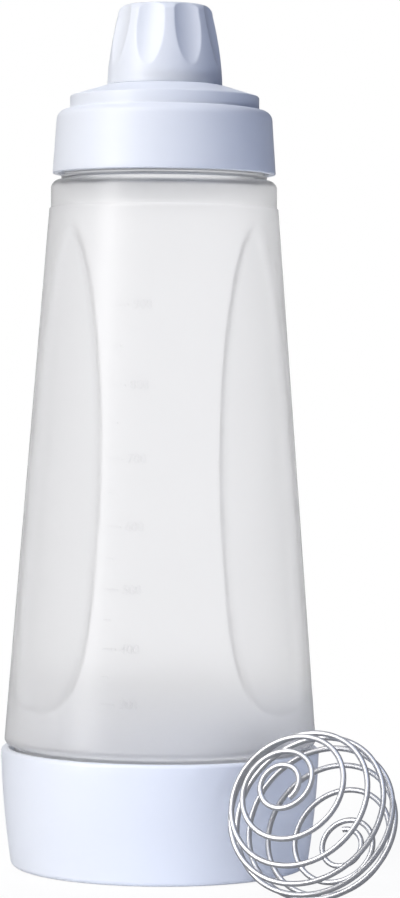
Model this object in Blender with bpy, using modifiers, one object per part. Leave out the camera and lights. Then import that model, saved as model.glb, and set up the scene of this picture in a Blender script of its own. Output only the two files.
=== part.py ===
"""Batter shaker bottle: a frosted conical bottle that is open at both ends, with a
screw-on base cup, a screw-on lid with a pouring nozzle, a fluted spout cap, and a loose
wire whisk ball on the floor beside it.

Metres, +Z up. The origin is the centre of the base cup's underside, and the front, which
faces -Y, is the plain panel between the two grip recesses.
"""

import math

import bmesh
import bpy
from mathutils import Matrix, Vector

MM = 0.001

# Clearances shared by the pieces
FIT_GAP = 0.3 * MM
THREAD_ROOM = 1.5 * MM
MERGE_DISTANCE = 0.01 * MM

# Base cup
CUP_HEIGHT = 36.35 * MM
CUP_OVERHANG = 0.7 * MM
CUP_WALL = 2.6 * MM
CUP_FLOOR = 2.6 * MM
CUP_FLARE = 3.3 * MM
CUP_FLARE_POWER = 1.7
CUP_RIM_ROUND = 1.2 * MM
CUP_EDGE_ROUND = 1.8 * MM
CUP_CORNER_ROUND = 5.0 * MM
CUP_SEAT_HEIGHT = 17.0 * MM
CUP_SEAT_WIDTH = 2.2 * MM
FOOT_RING_WIDTH = 4.0 * MM
FOOT_LAND_RADIUS = 14.0 * MM
FOOT_RECESS_DEPTH = 0.8 * MM

# Soft rings between the threaded pieces
BASE_SEAL_HEIGHT = 2.0 * MM
BASE_SEAL_LIP = 0.6 * MM
LID_GASKET_HEIGHT = 2.0 * MM
SEAL_ROUND = 0.5 * MM

# Bottle body
BODY_GROOVE = 0.85 * MM
BODY_HEIGHT = 164.4 * MM
BODY_BASE_RADIUS = 48.09 * MM
BODY_TOP_RADIUS = 35.05 * MM
BODY_WALL = 1.9 * MM
BODY_EDGE_ROUND = 1.9 * MM
SHOULDER_STEP = 0.45 * MM
SHOULDER_HEIGHT = 8.4 * MM
SHOULDER_ROUND = 2.6 * MM
NECK_SETBACK = 4.0 * MM
NECK_HEIGHT = 16.3 * MM
NECK_WALL = 2.0 * MM
NECK_RIM_CHAMFER = 0.4 * MM
FLANGE_REACH = 0.9 * MM
FLANGE_HEIGHT = 0.9 * MM
FLANGE_LIFT = 0.5 * MM

# Grip recesses, an egg-shaped outline on each side of the front panel
RECESS_DEPTH = 1.2 * MM
RECESS_WIDTH = 37.2 * MM
RECESS_LOWER_MARGIN = 12.7 * MM
RECESS_UPPER_MARGIN = 6.6 * MM
RECESS_BELLY = 50.0 * MM
RECESS_LOWER_POWER = 3.5
RECESS_UPPER_POWER = 1.9
RECESS_ANGLE = 53.3
RECESS_ARC_POINTS = 10

# Lid
LID_GAP = 1.9 * MM
LID_WALL = 2.05 * MM
LID_DRAFT = 1.1 * MM
LID_TOP_WALL = 2.6 * MM
LID_TOP_ROUND = 3.3 * MM
LID_RING_SETBACK = 4.1 * MM
LID_RING_HEIGHT = 4.3 * MM
LID_RING_ROUND = 0.7 * MM
LID_SLOPE_RISE = 2.6 * MM
LID_SLOPE_WALL = 2.4 * MM
LID_CAP_SEAT_DEPTH = 0.5 * MM
LID_PLUG_WALL = 1.6 * MM
LID_PLUG_DEPTH = 6.0 * MM
SPOUT_NECK_RADIUS = 13.4 * MM
SPOUT_NECK_WALL = 2.0 * MM
SPOUT_NECK_HEIGHT = 8.8 * MM
HOUSING_WALL = 2.0 * MM

# Pouring nozzle and the ring that holds it
VALVE_FLANGE_REACH = 3.5 * MM
VALVE_FLANGE_HEIGHT = 1.7 * MM
VALVE_WALL = 1.8 * MM
VALVE_SHOULDER = 1.0 * MM
VALVE_TIP_RADIUS = 5.2 * MM
VALVE_HOLE_RADIUS = 3.2 * MM
RETAINER_HEIGHT = 2.0 * MM
RETAINER_BORE = 9.7 * MM

# Spout cap
CAP_GAP = 0.35 * MM
CAP_WALL = 2.7 * MM
CAP_HEIGHT = 25.0 * MM
CAP_TAPER = 3.5 * MM
CAP_TAPER_POWER = 1.7
CAP_TOP_ROUND = 3.0 * MM
CAP_CROWN = 0.3 * MM
CAP_TOP_WALL = 2.3 * MM
CAP_UPPER_WALL = 1.6 * MM
CAP_THREAD_DEPTH = 7.0 * MM
CAP_CAVITY_START = 18.5 * MM
CAP_LINER_HEIGHT = 2.5 * MM
FLUTE_COUNT = 8
FLUTE_DEPTH = 1.2 * MM
FLUTE_RADIUS = 12.0 * MM
FLUTE_LENGTH = 68.0 * MM
FLUTE_CENTRE = 16.8 * MM
FLUTE_LEAN = 12.5
FLUTE_FIRST_ANGLE = -62.0

# Wire whisk ball: one wire, wound from one pole over the equator to the other
WIRE_DIAMETER = 1.65 * MM
BALL_RADIUS = 23.9 * MM
BALL_SQUASH = 0.96
BALL_X = 44.7 * MM
BALL_Y = -66.0 * MM
BALL_POLE_TURN = -30.4
BALL_POLE_LIFT = 30.6
WIRE_PHASE = 14.5
WIRE_HALF_TURNS = 4.71
WIRE_STEP = 16.3
WIRE_STEP_GROWTH = 0.246
WIRE_EYE = 13.7
WIRE_EYE_BLEND = 5.5
WIRE_POINTS_PER_LOOP = 24
WIRE_LEAST_GAP = 0.4 * MM

# Facets round the turned pieces
LARGE_STEPS = 64
MEDIUM_STEPS = 48
SMALL_STEPS = 32
ROUND_POINTS = 4
SHARP_ANGLE = 32.0

# Heights above the floor, worked out from the sizes above
BASE_SEAL_BOTTOM = CUP_SEAT_HEIGHT + FIT_GAP
LOWER_RIM = BASE_SEAL_BOTTOM + BASE_SEAL_HEIGHT + FIT_GAP
BODY_BOTTOM = CUP_HEIGHT + BODY_GROOVE
BODY_TOP = BODY_BOTTOM + BODY_HEIGHT
SHOULDER_TOP = BODY_TOP + SHOULDER_HEIGHT
UPPER_RIM = SHOULDER_TOP + NECK_HEIGHT
LID_BOTTOM = SHOULDER_TOP + LID_GAP
LID_GASKET_BOTTOM = UPPER_RIM + FIT_GAP
LID_SEAT = LID_GASKET_BOTTOM + LID_GASKET_HEIGHT + FIT_GAP
LID_TOP = LID_SEAT + LID_TOP_WALL
LID_RING_TOP = LID_TOP + LID_RING_HEIGHT
LID_CROWN = LID_RING_TOP + LID_SLOPE_RISE
VALVE_SEAT = LID_CROWN - LID_SLOPE_WALL
SPOUT_NECK_TOP = LID_CROWN + SPOUT_NECK_HEIGHT
VALVE_FLANGE_TOP = VALVE_SEAT - FIT_GAP
VALVE_BOTTOM = VALVE_FLANGE_TOP - VALVE_FLANGE_HEIGHT
RETAINER_TOP = VALVE_BOTTOM - FIT_GAP
RETAINER_BOTTOM = RETAINER_TOP - RETAINER_HEIGHT
CAP_BOTTOM = LID_CROWN + CAP_GAP
CAP_TOP = CAP_BOTTOM + CAP_HEIGHT
CAP_CEILING = CAP_TOP - CAP_CROWN - CAP_TOP_WALL
CAP_LINER_TOP = CAP_CEILING - FIT_GAP
CAP_LINER_BOTTOM = CAP_LINER_TOP - CAP_LINER_HEIGHT
VALVE_TIP = CAP_LINER_BOTTOM - FIT_GAP

# Radii worked out from the sizes above
CUP_RIM_RADIUS = BODY_BASE_RADIUS + CUP_OVERHANG
CUP_BORE = CUP_RIM_RADIUS - CUP_WALL
CUP_SEAT_BORE = CUP_BORE - CUP_SEAT_WIDTH
LOWER_NECK_RADIUS = CUP_BORE - THREAD_ROOM
SHOULDER_RADIUS = BODY_TOP_RADIUS - SHOULDER_STEP
NECK_RADIUS = SHOULDER_RADIUS - NECK_SETBACK
NECK_BORE = NECK_RADIUS - NECK_WALL
LID_BORE = NECK_RADIUS + THREAD_ROOM
LID_RADIUS = LID_BORE + LID_WALL
LID_TOP_RADIUS = LID_RADIUS - LID_DRAFT
LID_RING_RADIUS = LID_TOP_RADIUS - LID_RING_SETBACK
LID_PLUG_RADIUS = NECK_BORE - FIT_GAP
LID_PLUG_BORE = LID_PLUG_RADIUS - LID_PLUG_WALL
SPOUT_BORE = SPOUT_NECK_RADIUS - SPOUT_NECK_WALL
HOUSING_BORE = SPOUT_BORE + VALVE_FLANGE_REACH
VALVE_FLANGE_RADIUS = HOUSING_BORE - FIT_GAP
VALVE_RADIUS = SPOUT_BORE - FIT_GAP
CAP_BORE = SPOUT_NECK_RADIUS + THREAD_ROOM
CAP_RADIUS = CAP_BORE + CAP_WALL


def clear_scene():
    """Remove what the file already holds."""
    for item in list(bpy.data.objects):
        bpy.data.objects.remove(item, do_unlink=True)


def new_collection(name):
    """A collection linked to the scene."""
    collection = bpy.data.collections.new(name)
    bpy.context.scene.collection.children.link(collection)
    return collection


def plastic(name, colour, roughness, alpha=1.0, metallic=0.0):
    """A Principled material with the piece's colour and finish."""
    material = bpy.data.materials.new(name)
    material.use_nodes = True
    shader = material.node_tree.nodes["Principled BSDF"]
    shader.inputs["Base Color"].default_value = (*colour, 1.0)
    shader.inputs["Roughness"].default_value = roughness
    shader.inputs["Metallic"].default_value = metallic
    shader.inputs["Alpha"].default_value = alpha
    material.diffuse_color = (*colour, alpha)
    return material


def arc(centre_radius, centre_height, size, start, end, count=ROUND_POINTS):
    """Points on an arc of a profile, angles in degrees, 0 outward and 90 up."""
    points = []
    for index in range(count):
        angle = math.radians(start + (end - start) * index / (count - 1))
        radius = centre_radius + size * math.cos(angle)
        points.append((radius, centre_height + size * math.sin(angle)))
    return points


def turned(name, profile, seat, steps, closed, material, collection):
    """A turned piece: its profile runs down its outer side, and its origin is on the
    axis at the seat height."""
    mesh = bpy.data.meshes.new(name)
    vertices = [(radius, 0.0, height - seat) for radius, height in profile]
    edges = [(index, index + 1) for index in range(len(profile) - 1)]
    if closed:
        edges.append((len(profile) - 1, 0))
    mesh.from_pydata(vertices, edges, [])
    piece = bpy.data.objects.new(name, mesh)
    piece.location = (0.0, 0.0, seat)
    collection.objects.link(piece)
    screw = piece.modifiers.new("Turn", "SCREW")
    screw.axis = "Z"
    screw.steps = steps
    screw.render_steps = steps
    screw.use_merge_vertices = True
    screw.merge_threshold = MERGE_DISTANCE
    return finished(piece, material)


def finished(piece, material):
    """Turn a piece's modifiers into its mesh, give it its material and shade it."""
    bpy.context.view_layer.update()
    graph = bpy.context.evaluated_depsgraph_get()
    mesh = bpy.data.meshes.new_from_object(piece.evaluated_get(graph))
    mesh.name = piece.name
    piece.modifiers.clear()
    piece.data = mesh
    mesh.materials.clear()
    if material:
        mesh.materials.append(material)
    mesh.shade_smooth()
    mesh.set_sharp_from_angle(angle=math.radians(SHARP_ANGLE))
    return piece


def combine(piece, cutter, operation):
    """Cut a piece with a cutter, or join it, and keep the result as its mesh."""
    boolean = piece.modifiers.new(cutter.name, "BOOLEAN")
    boolean.operation = operation
    boolean.solver = "EXACT"
    boolean.object = cutter
    material = piece.data.materials[0] if piece.data.materials else None
    return finished(piece, material)


def as_cutter(piece):
    """Keep a cutter out of the picture."""
    piece.hide_render = True
    piece.display_type = "WIRE"
    return piece


def cup_outer_radius(height):
    """The cup's outer radius: upright at the rim, drawn in towards the foot."""
    fraction = (CUP_HEIGHT - height) / CUP_HEIGHT
    return CUP_RIM_RADIUS - CUP_FLARE * fraction ** CUP_FLARE_POWER


def make_base_cup(collection):
    """The screw-on cup that the bottle stands in."""
    floor_top = FOOT_RECESS_DEPTH + CUP_FLOOR
    floor_radius = cup_outer_radius(floor_top) - CUP_WALL
    lower_bore = min(floor_radius, CUP_SEAT_BORE)
    foot_radius = cup_outer_radius(CUP_EDGE_ROUND) - CUP_EDGE_ROUND
    ring_bore = foot_radius - FOOT_RING_WIDTH
    profile = [(0.0, floor_top)]
    profile += arc(lower_bore - CUP_CORNER_ROUND, floor_top + CUP_CORNER_ROUND, CUP_CORNER_ROUND, -90, 0)
    profile += [(CUP_SEAT_BORE, CUP_SEAT_HEIGHT), (CUP_BORE, CUP_SEAT_HEIGHT)]
    profile += [(CUP_BORE, CUP_HEIGHT - FIT_GAP), (CUP_BORE + FIT_GAP, CUP_HEIGHT)]
    profile += arc(CUP_RIM_RADIUS - CUP_RIM_ROUND, CUP_HEIGHT - CUP_RIM_ROUND, CUP_RIM_ROUND, 90, 0)
    side = CUP_HEIGHT - CUP_RIM_ROUND
    for index in range(1, 6):
        height = side + (CUP_EDGE_ROUND - side) * index / 5
        profile.append((cup_outer_radius(height), height))
    profile += arc(foot_radius, CUP_EDGE_ROUND, CUP_EDGE_ROUND, 0, -90)[1:]
    profile += [(ring_bore, 0.0), (ring_bore - FIT_GAP, FOOT_RECESS_DEPTH)]
    profile += [(FOOT_LAND_RADIUS + FIT_GAP, FOOT_RECESS_DEPTH), (FOOT_LAND_RADIUS, 0.0), (0.0, 0.0)]
    material = plastic("base_cup_plastic", (0.80, 0.85, 0.93), 0.25)
    return turned("base_cup", profile, 0.0, LARGE_STEPS, False, material, collection)


def ring_profile(bore, radius, bottom, height):
    """A flat soft ring with rounded edges, its profile closed on itself."""
    edge = min(SEAL_ROUND, 0.4 * height, 0.4 * (radius - bore))
    top = bottom + height
    return [
        (bore + edge, top), (radius - edge, top), (radius, top - edge), (radius, bottom + edge),
        (radius - edge, bottom), (bore + edge, bottom), (bore, bottom + edge), (bore, top - edge),
    ]


def make_base_seal(collection):
    """The soft ring on the cup's ledge, under the bottle's lower rim."""
    profile = ring_profile(
        CUP_SEAT_BORE - BASE_SEAL_LIP, CUP_BORE - FIT_GAP, BASE_SEAL_BOTTOM, BASE_SEAL_HEIGHT)
    material = plastic("base_seal_silicone", (0.75, 0.78, 0.82), 0.6)
    return turned("base_seal", profile, BASE_SEAL_BOTTOM, MEDIUM_STEPS, True, material, collection)


def cone_radius(height):
    """The bottle's outer radius between its lower edge and its step."""
    fraction = (height - BODY_BOTTOM) / BODY_HEIGHT
    return BODY_BASE_RADIUS + (BODY_TOP_RADIUS - BODY_BASE_RADIUS) * fraction


def bottle_outside_profile():
    """The bottle's outline from the mouth's rim down to the lower rim."""
    flange_bottom = SHOULDER_TOP + FLANGE_LIFT
    flange_radius = NECK_RADIUS + FLANGE_REACH
    profile = [(0.0, UPPER_RIM), (NECK_RADIUS - NECK_RIM_CHAMFER, UPPER_RIM)]
    profile += [(NECK_RADIUS, UPPER_RIM - NECK_RIM_CHAMFER), (NECK_RADIUS, flange_bottom + FLANGE_HEIGHT)]
    profile += [(flange_radius, flange_bottom + FLANGE_HEIGHT), (flange_radius, flange_bottom)]
    profile += [(NECK_RADIUS, flange_bottom), (NECK_RADIUS, SHOULDER_TOP)]
    profile += arc(SHOULDER_RADIUS - SHOULDER_ROUND, SHOULDER_TOP - SHOULDER_ROUND, SHOULDER_ROUND, 90, 0)
    profile += [(SHOULDER_RADIUS, BODY_TOP), (BODY_TOP_RADIUS, BODY_TOP - SHOULDER_STEP)]
    low = BODY_BOTTOM + BODY_EDGE_ROUND
    profile += arc(cone_radius(low) - BODY_EDGE_ROUND, low, BODY_EDGE_ROUND, 0, -90)
    profile += [(LOWER_NECK_RADIUS, BODY_BOTTOM), (LOWER_NECK_RADIUS, LOWER_RIM), (0.0, LOWER_RIM)]
    return profile


def bottle_inside_profile():
    """The hollow of the bottle, which runs out past both rims."""
    lower_bore = LOWER_NECK_RADIUS - NECK_WALL
    waist = SHOULDER_RADIUS - BODY_WALL
    low_wall = cone_radius(BODY_BOTTOM) - BODY_WALL
    return [
        (0.0, UPPER_RIM + BODY_WALL), (NECK_BORE, UPPER_RIM + BODY_WALL),
        (NECK_BORE, SHOULDER_TOP - BODY_WALL + NECK_WALL),
        (waist - SHOULDER_ROUND, SHOULDER_TOP - BODY_WALL),
        (waist, SHOULDER_TOP - BODY_WALL - SHOULDER_ROUND), (waist, BODY_TOP),
        (cone_radius(BODY_TOP) - BODY_WALL, BODY_TOP - BODY_WALL),
        (low_wall, BODY_BOTTOM + BODY_WALL + BODY_EDGE_ROUND),
        (lower_bore, BODY_BOTTOM + BODY_WALL - BODY_EDGE_ROUND),
        (lower_bore, LOWER_RIM - BODY_WALL), (0.0, LOWER_RIM - BODY_WALL),
    ]


def recess_outline(margin):
    """The egg-shaped outline of a recess, across and up, grown by a margin."""
    bottom = BODY_BOTTOM + RECESS_LOWER_MARGIN - margin
    top = BODY_TOP - RECESS_UPPER_MARGIN + margin
    belly = BODY_BOTTOM + RECESS_LOWER_MARGIN + RECESS_BELLY
    half_width = RECESS_WIDTH / 2 + margin
    points = []
    for index in range(4 * RECESS_ARC_POINTS):
        angle = math.tau * index / (4 * RECESS_ARC_POINTS)
        rises = math.sin(angle) > 0
        power = RECESS_UPPER_POWER if rises else RECESS_LOWER_POWER
        reach = top - belly if rises else belly - bottom
        across = math.copysign(abs(math.cos(angle)) ** (2 / power), math.cos(angle))
        upward = math.copysign(abs(math.sin(angle)) ** (2 / power), math.sin(angle))
        points.append((half_width * across, belly + reach * upward))
    return points


def make_recess_cutter(name, side, depth, margin, cutters):
    """What a recess removes: a prism with the egg-shaped outline, less the cone that
    lies under the recess's floor."""
    near = 0.4 * BODY_TOP_RADIUS
    far = 1.2 * BODY_BASE_RADIUS
    curve = bpy.data.curves.new(name, "CURVE")
    curve.dimensions = "2D"
    curve.fill_mode = "BOTH"
    curve.extrude = (far - near) / 2
    outline = recess_outline(margin)
    spline = curve.splines.new("POLY")
    spline.points.add(len(outline) - 1)
    for point, (across, upward) in zip(spline.points, outline):
        point.co = (across, upward, 0.0, 1.0)
    spline.use_cyclic_u = True
    guide = bpy.data.objects.new(name, curve)
    cutters.objects.link(guide)
    bpy.context.view_layer.update()
    graph = bpy.context.evaluated_depsgraph_get()
    mesh = bpy.data.meshes.new_from_object(guide.evaluated_get(graph))
    bpy.data.objects.remove(guide)
    shape = bmesh.new()
    shape.from_mesh(mesh)
    bmesh.ops.remove_doubles(shape, verts=shape.verts, dist=MERGE_DISTANCE)
    upright = Matrix.Rotation(math.radians(90), 4, "X")
    outward = Matrix.Translation((0.0, -(near + far) / 2, 0.0))
    around = Matrix.Rotation(math.radians(side * RECESS_ANGLE), 4, "Z")
    bmesh.ops.transform(shape, matrix=around @ outward @ upright, verts=shape.verts)
    bmesh.ops.recalc_face_normals(shape, faces=shape.faces)
    shape.to_mesh(mesh)
    shape.free()
    prism = bpy.data.objects.new(name, mesh)
    cutters.objects.link(prism)
    top = BODY_TOP
    bottom = BODY_BOTTOM
    profile = [(0.0, top), (cone_radius(top) - depth, top), (cone_radius(bottom) - depth, bottom), (0.0, bottom)]
    core = turned(name + "_core", profile, 0.0, LARGE_STEPS, False, None, cutters)
    as_cutter(core)
    return as_cutter(combine(prism, core, "DIFFERENCE"))


def make_bottle_body(collection, cutters):
    """The frosted bottle: its wall keeps its thickness behind each recess."""
    material = plastic("bottle_body_frosted", (0.86, 0.88, 0.90), 0.45, alpha=0.55)
    body = turned(
        "bottle_body", bottle_outside_profile(), BODY_BOTTOM, LARGE_STEPS, False, material, collection)
    hollow = turned(
        "bottle_hollow", bottle_inside_profile(), BODY_BOTTOM, LARGE_STEPS, False, None, cutters)
    for label, side in (("left", -1), ("right", 1)):
        outer = make_recess_cutter("recess_outside_" + label, side, RECESS_DEPTH, 0.0, cutters)
        inner = make_recess_cutter(
            "recess_inside_" + label, side, RECESS_DEPTH + BODY_WALL, BODY_WALL, cutters)
        combine(body, outer, "DIFFERENCE")
        combine(hollow, inner, "DIFFERENCE")
    as_cutter(hollow)
    return combine(body, hollow, "DIFFERENCE")


def make_lid_gasket(collection):
    """The soft ring between the bottle's upper rim and the lid."""
    profile = ring_profile(
        LID_PLUG_RADIUS + FIT_GAP, LID_BORE - FIT_GAP, LID_GASKET_BOTTOM, LID_GASKET_HEIGHT)
    material = plastic("lid_gasket_silicone", (0.75, 0.78, 0.82), 0.6)
    return turned("lid_gasket", profile, LID_GASKET_BOTTOM, MEDIUM_STEPS, True, material, collection)


def make_lid_collar(collection):
    """The screw-on lid: skirt, step ring, sloped crown, spout neck, the plug ring inside
    the bottle's mouth and the housing that holds the nozzle."""
    ring_edge = LID_RING_RADIUS - LID_RING_ROUND
    seat_edge = CAP_RADIUS + CAP_GAP
    housing_radius = HOUSING_BORE + HOUSING_WALL
    ceiling = LID_RING_TOP - LID_SLOPE_WALL
    profile = [(SPOUT_BORE, SPOUT_NECK_TOP), (SPOUT_NECK_RADIUS - FIT_GAP, SPOUT_NECK_TOP)]
    profile += [(SPOUT_NECK_RADIUS, SPOUT_NECK_TOP - FIT_GAP), (SPOUT_NECK_RADIUS, LID_CROWN)]
    profile += [(seat_edge, LID_CROWN), (seat_edge, LID_CROWN + LID_CAP_SEAT_DEPTH), (ring_edge, LID_RING_TOP)]
    profile += [(LID_RING_RADIUS, LID_RING_TOP - LID_RING_ROUND), (LID_RING_RADIUS, LID_TOP)]
    profile += arc(LID_TOP_RADIUS - LID_TOP_ROUND, LID_TOP - LID_TOP_ROUND, LID_TOP_ROUND, 90, 0, 5)
    profile += [(LID_RADIUS, LID_BOTTOM + FIT_GAP), (LID_RADIUS - FIT_GAP, LID_BOTTOM)]
    profile += [(LID_BORE, LID_BOTTOM), (LID_BORE, LID_SEAT), (LID_PLUG_RADIUS, LID_SEAT)]
    profile += [(LID_PLUG_RADIUS, UPPER_RIM - LID_PLUG_DEPTH + FIT_GAP)]
    profile += [(LID_PLUG_RADIUS - FIT_GAP, UPPER_RIM - LID_PLUG_DEPTH)]
    profile += [(LID_PLUG_BORE, UPPER_RIM - LID_PLUG_DEPTH), (LID_PLUG_BORE, ceiling)]
    profile += [(housing_radius, VALVE_SEAT - FIT_GAP), (housing_radius, RETAINER_BOTTOM - FIT_GAP)]
    profile += [(HOUSING_BORE, RETAINER_BOTTOM - FIT_GAP), (HOUSING_BORE, VALVE_SEAT)]
    profile += [(SPOUT_BORE, VALVE_SEAT)]
    material = plastic("lid_collar_plastic", (0.80, 0.85, 0.93), 0.22)
    return turned("lid_collar", profile, LID_BOTTOM, LARGE_STEPS, True, material, collection)


def make_spout_valve(collection):
    """The soft nozzle: a flange under the spout neck, a sleeve through it and a tapered
    tip with the flow hole."""
    bore = VALVE_RADIUS - VALVE_WALL
    shoulder = SPOUT_NECK_TOP + VALVE_SHOULDER
    rise = VALVE_TIP - shoulder
    profile = [(VALVE_HOLE_RADIUS, VALVE_TIP), (VALVE_TIP_RADIUS - FIT_GAP, VALVE_TIP)]
    outer = [(VALVE_TIP_RADIUS, VALVE_TIP - FIT_GAP)]
    inner = [(VALVE_HOLE_RADIUS, VALVE_TIP - VALVE_WALL)]
    for fraction in (0.3, 0.65, 1.0):
        swell = math.sin(0.5 * math.pi * fraction)
        height = VALVE_TIP - VALVE_WALL - (rise - VALVE_WALL) * fraction
        outer.append((VALVE_TIP_RADIUS + (VALVE_RADIUS - VALVE_TIP_RADIUS) * swell, height))
        inner.append((VALVE_HOLE_RADIUS + (bore - VALVE_HOLE_RADIUS) * swell, height - VALVE_WALL))
    profile += outer
    profile += [(VALVE_RADIUS, VALVE_FLANGE_TOP), (VALVE_FLANGE_RADIUS, VALVE_FLANGE_TOP)]
    profile += [(VALVE_FLANGE_RADIUS, VALVE_BOTTOM), (bore, VALVE_BOTTOM)]
    profile += reversed(inner)
    material = plastic("spout_valve_silicone", (0.85, 0.87, 0.90), 0.5)
    return turned("spout_valve", profile, VALVE_FLANGE_TOP, SMALL_STEPS, True, material, collection)


def make_valve_retainer(collection):
    """The ring in the housing that holds the nozzle's flange."""
    profile = ring_profile(RETAINER_BORE, VALVE_FLANGE_RADIUS, RETAINER_BOTTOM, RETAINER_HEIGHT)
    material = plastic("valve_retainer_plastic", (0.80, 0.85, 0.93), 0.3)
    return turned("valve_retainer", profile, RETAINER_BOTTOM, SMALL_STEPS, True, material, collection)


def cap_side_height():
    """The height of the cap's side, below its rounded top edge."""
    return CAP_HEIGHT - CAP_CROWN - CAP_TOP_ROUND


def cap_outer_radius(height):
    """The cap's outer radius at a height above its lower edge."""
    fraction = height / (CAP_HEIGHT - CAP_CROWN - 0.5 * CAP_TOP_ROUND)
    return CAP_RADIUS - CAP_TAPER * fraction ** CAP_TAPER_POWER


def cap_cavity_radius():
    """The radius of the cap's upper hollow, inside the flutes."""
    return cap_outer_radius(cap_side_height()) - FLUTE_DEPTH - CAP_UPPER_WALL


def make_flute_cutter(index, cutters):
    """A long slim ellipsoid that lies along the cap's side and cuts one flute."""
    wall = cap_outer_radius(FLUTE_CENTRE)
    lean = math.radians(FLUTE_LEAN)
    normal = Vector((math.cos(lean), 0.0, math.sin(lean)))
    middle = Vector((wall, 0.0, CAP_BOTTOM + FLUTE_CENTRE)) + normal * (FLUTE_RADIUS - FLUTE_DEPTH)
    name = f"flute_{index}"
    mesh = bpy.data.meshes.new(name)
    shape = bmesh.new()
    bmesh.ops.create_uvsphere(shape, u_segments=56, v_segments=36, radius=1.0)
    size = Matrix.Diagonal((FLUTE_RADIUS, FLUTE_RADIUS, FLUTE_LENGTH / 2, 1.0))
    tilt = Matrix.Rotation(-lean, 4, "Y")
    turn = Matrix.Rotation(math.radians(FLUTE_FIRST_ANGLE - 90 + 360 * index / FLUTE_COUNT), 4, "Z")
    bmesh.ops.transform(shape, matrix=turn @ Matrix.Translation(middle) @ tilt @ size, verts=shape.verts)
    shape.to_mesh(mesh)
    shape.free()
    cutter = bpy.data.objects.new(name, mesh)
    cutters.objects.link(cutter)
    return as_cutter(cutter)


def make_spout_cap(collection, cutters):
    """The fluted cap that screws over the spout neck."""
    side = cap_side_height()
    edge = cap_outer_radius(side)
    cavity = cap_cavity_radius()
    profile = [(0.0, CAP_TOP), (edge - CAP_TOP_ROUND, CAP_TOP - CAP_CROWN)]
    profile += arc(edge - CAP_TOP_ROUND, CAP_TOP - CAP_CROWN - CAP_TOP_ROUND, CAP_TOP_ROUND, 90, 0)[1:]
    for index in range(1, 7):
        height = side * (1 - index / 6)
        profile.append((cap_outer_radius(height), CAP_BOTTOM + height))
    profile += [(CAP_BORE + FIT_GAP, CAP_BOTTOM), (CAP_BORE, CAP_BOTTOM + FIT_GAP)]
    profile += [(CAP_BORE, CAP_BOTTOM + CAP_THREAD_DEPTH), (cavity, CAP_BOTTOM + CAP_CAVITY_START)]
    profile += [(cavity, CAP_CEILING), (0.0, CAP_CEILING)]
    material = plastic("spout_cap_plastic", (0.80, 0.85, 0.93), 0.25)
    cap = turned("spout_cap", profile, CAP_BOTTOM, MEDIUM_STEPS, False, material, collection)
    for index in range(FLUTE_COUNT):
        combine(cap, make_flute_cutter(index, cutters), "DIFFERENCE")
    return cap


def make_cap_liner(collection):
    """The soft disc under the cap's top, which closes the nozzle's tip."""
    radius = cap_cavity_radius() - FIT_GAP
    edge = min(SEAL_ROUND, 0.4 * CAP_LINER_HEIGHT)
    profile = [(0.0, CAP_LINER_TOP), (radius - edge, CAP_LINER_TOP), (radius, CAP_LINER_TOP - edge)]
    profile += [(radius, CAP_LINER_BOTTOM + edge), (radius - edge, CAP_LINER_BOTTOM), (0.0, CAP_LINER_BOTTOM)]
    material = plastic("cap_liner_silicone", (0.75, 0.78, 0.82), 0.6)
    return turned("cap_liner", profile, CAP_LINER_BOTTOM, SMALL_STEPS, False, material, collection)


def wire_pole_angle(turns):
    """How far the wire is from its pole, in degrees, at a number of turns from the
    equator: nearly even steps that ease into the small eye at the pole."""
    distance = abs(turns)
    even = 90.0 - WIRE_STEP * distance - WIRE_STEP_GROWTH * distance ** 3
    eased = WIRE_EYE + WIRE_EYE_BLEND * math.log1p(math.exp((even - WIRE_EYE) / WIRE_EYE_BLEND))
    return eased if turns >= 0 else 180.0 - eased


def wire_points():
    """The wire's centre line, from one pole over the equator to the other."""
    turn = math.radians(BALL_POLE_TURN)
    lift = math.radians(BALL_POLE_LIFT)
    pole = Vector((math.cos(lift) * math.sin(turn), -math.cos(lift) * math.cos(turn), math.sin(lift)))
    across = Vector((1.0, 0.0, 0.0))
    across = (across - pole * pole.dot(across)).normalized()
    upward = pole.cross(across)
    count = round(2 * WIRE_HALF_TURNS * WIRE_POINTS_PER_LOOP)
    points = []
    for index in range(count + 1):
        turns = WIRE_HALF_TURNS * (1 - 2 * index / count)
        angle = math.radians(wire_pole_angle(turns))
        spin = math.tau * (0.5 - turns) + math.radians(WIRE_PHASE)
        ring = across * math.cos(spin) + upward * math.sin(spin)
        points.append((pole * math.cos(angle) * BALL_SQUASH + ring * math.sin(angle)) * BALL_RADIUS)
    return points


def wire_gap(points):
    """The least gap between the wire and itself, measured between points that are more
    than a third of a loop apart along it."""
    apart = WIRE_POINTS_PER_LOOP // 3
    least = min(
        (points[first] - points[second]).length
        for first in range(len(points))
        for second in range(first + apart, len(points)))
    return least - WIRE_DIAMETER


def make_whisk_ball(collection):
    """The whisk ball: one unbroken wire wound as a ball, resting on the floor."""
    points = wire_points()
    gap = wire_gap(points)
    print(f"whisk ball: {len(points)} points, least gap of the wire to itself {gap / MM:.2f} mm")
    if gap < WIRE_LEAST_GAP:
        print("whisk ball: the wire's loops lie closer than they should")
    curve = bpy.data.curves.new("whisk_ball", "CURVE")
    curve.dimensions = "3D"
    curve.bevel_depth = WIRE_DIAMETER / 2
    curve.bevel_resolution = 1
    curve.use_fill_caps = True
    spline = curve.splines.new("POLY")
    spline.points.add(len(points) - 1)
    for control, point in zip(spline.points, points):
        control.co = (*point, 1.0)
    curve.materials.append(plastic("stainless_wire", (0.62, 0.62, 0.63), 0.2, metallic=1.0))
    ball = bpy.data.objects.new("whisk_ball", curve)
    lowest = min(point.z for point in points)
    ball.location = (BALL_X, BALL_Y, WIRE_DIAMETER / 2 - lowest)
    collection.objects.link(ball)
    return ball


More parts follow.
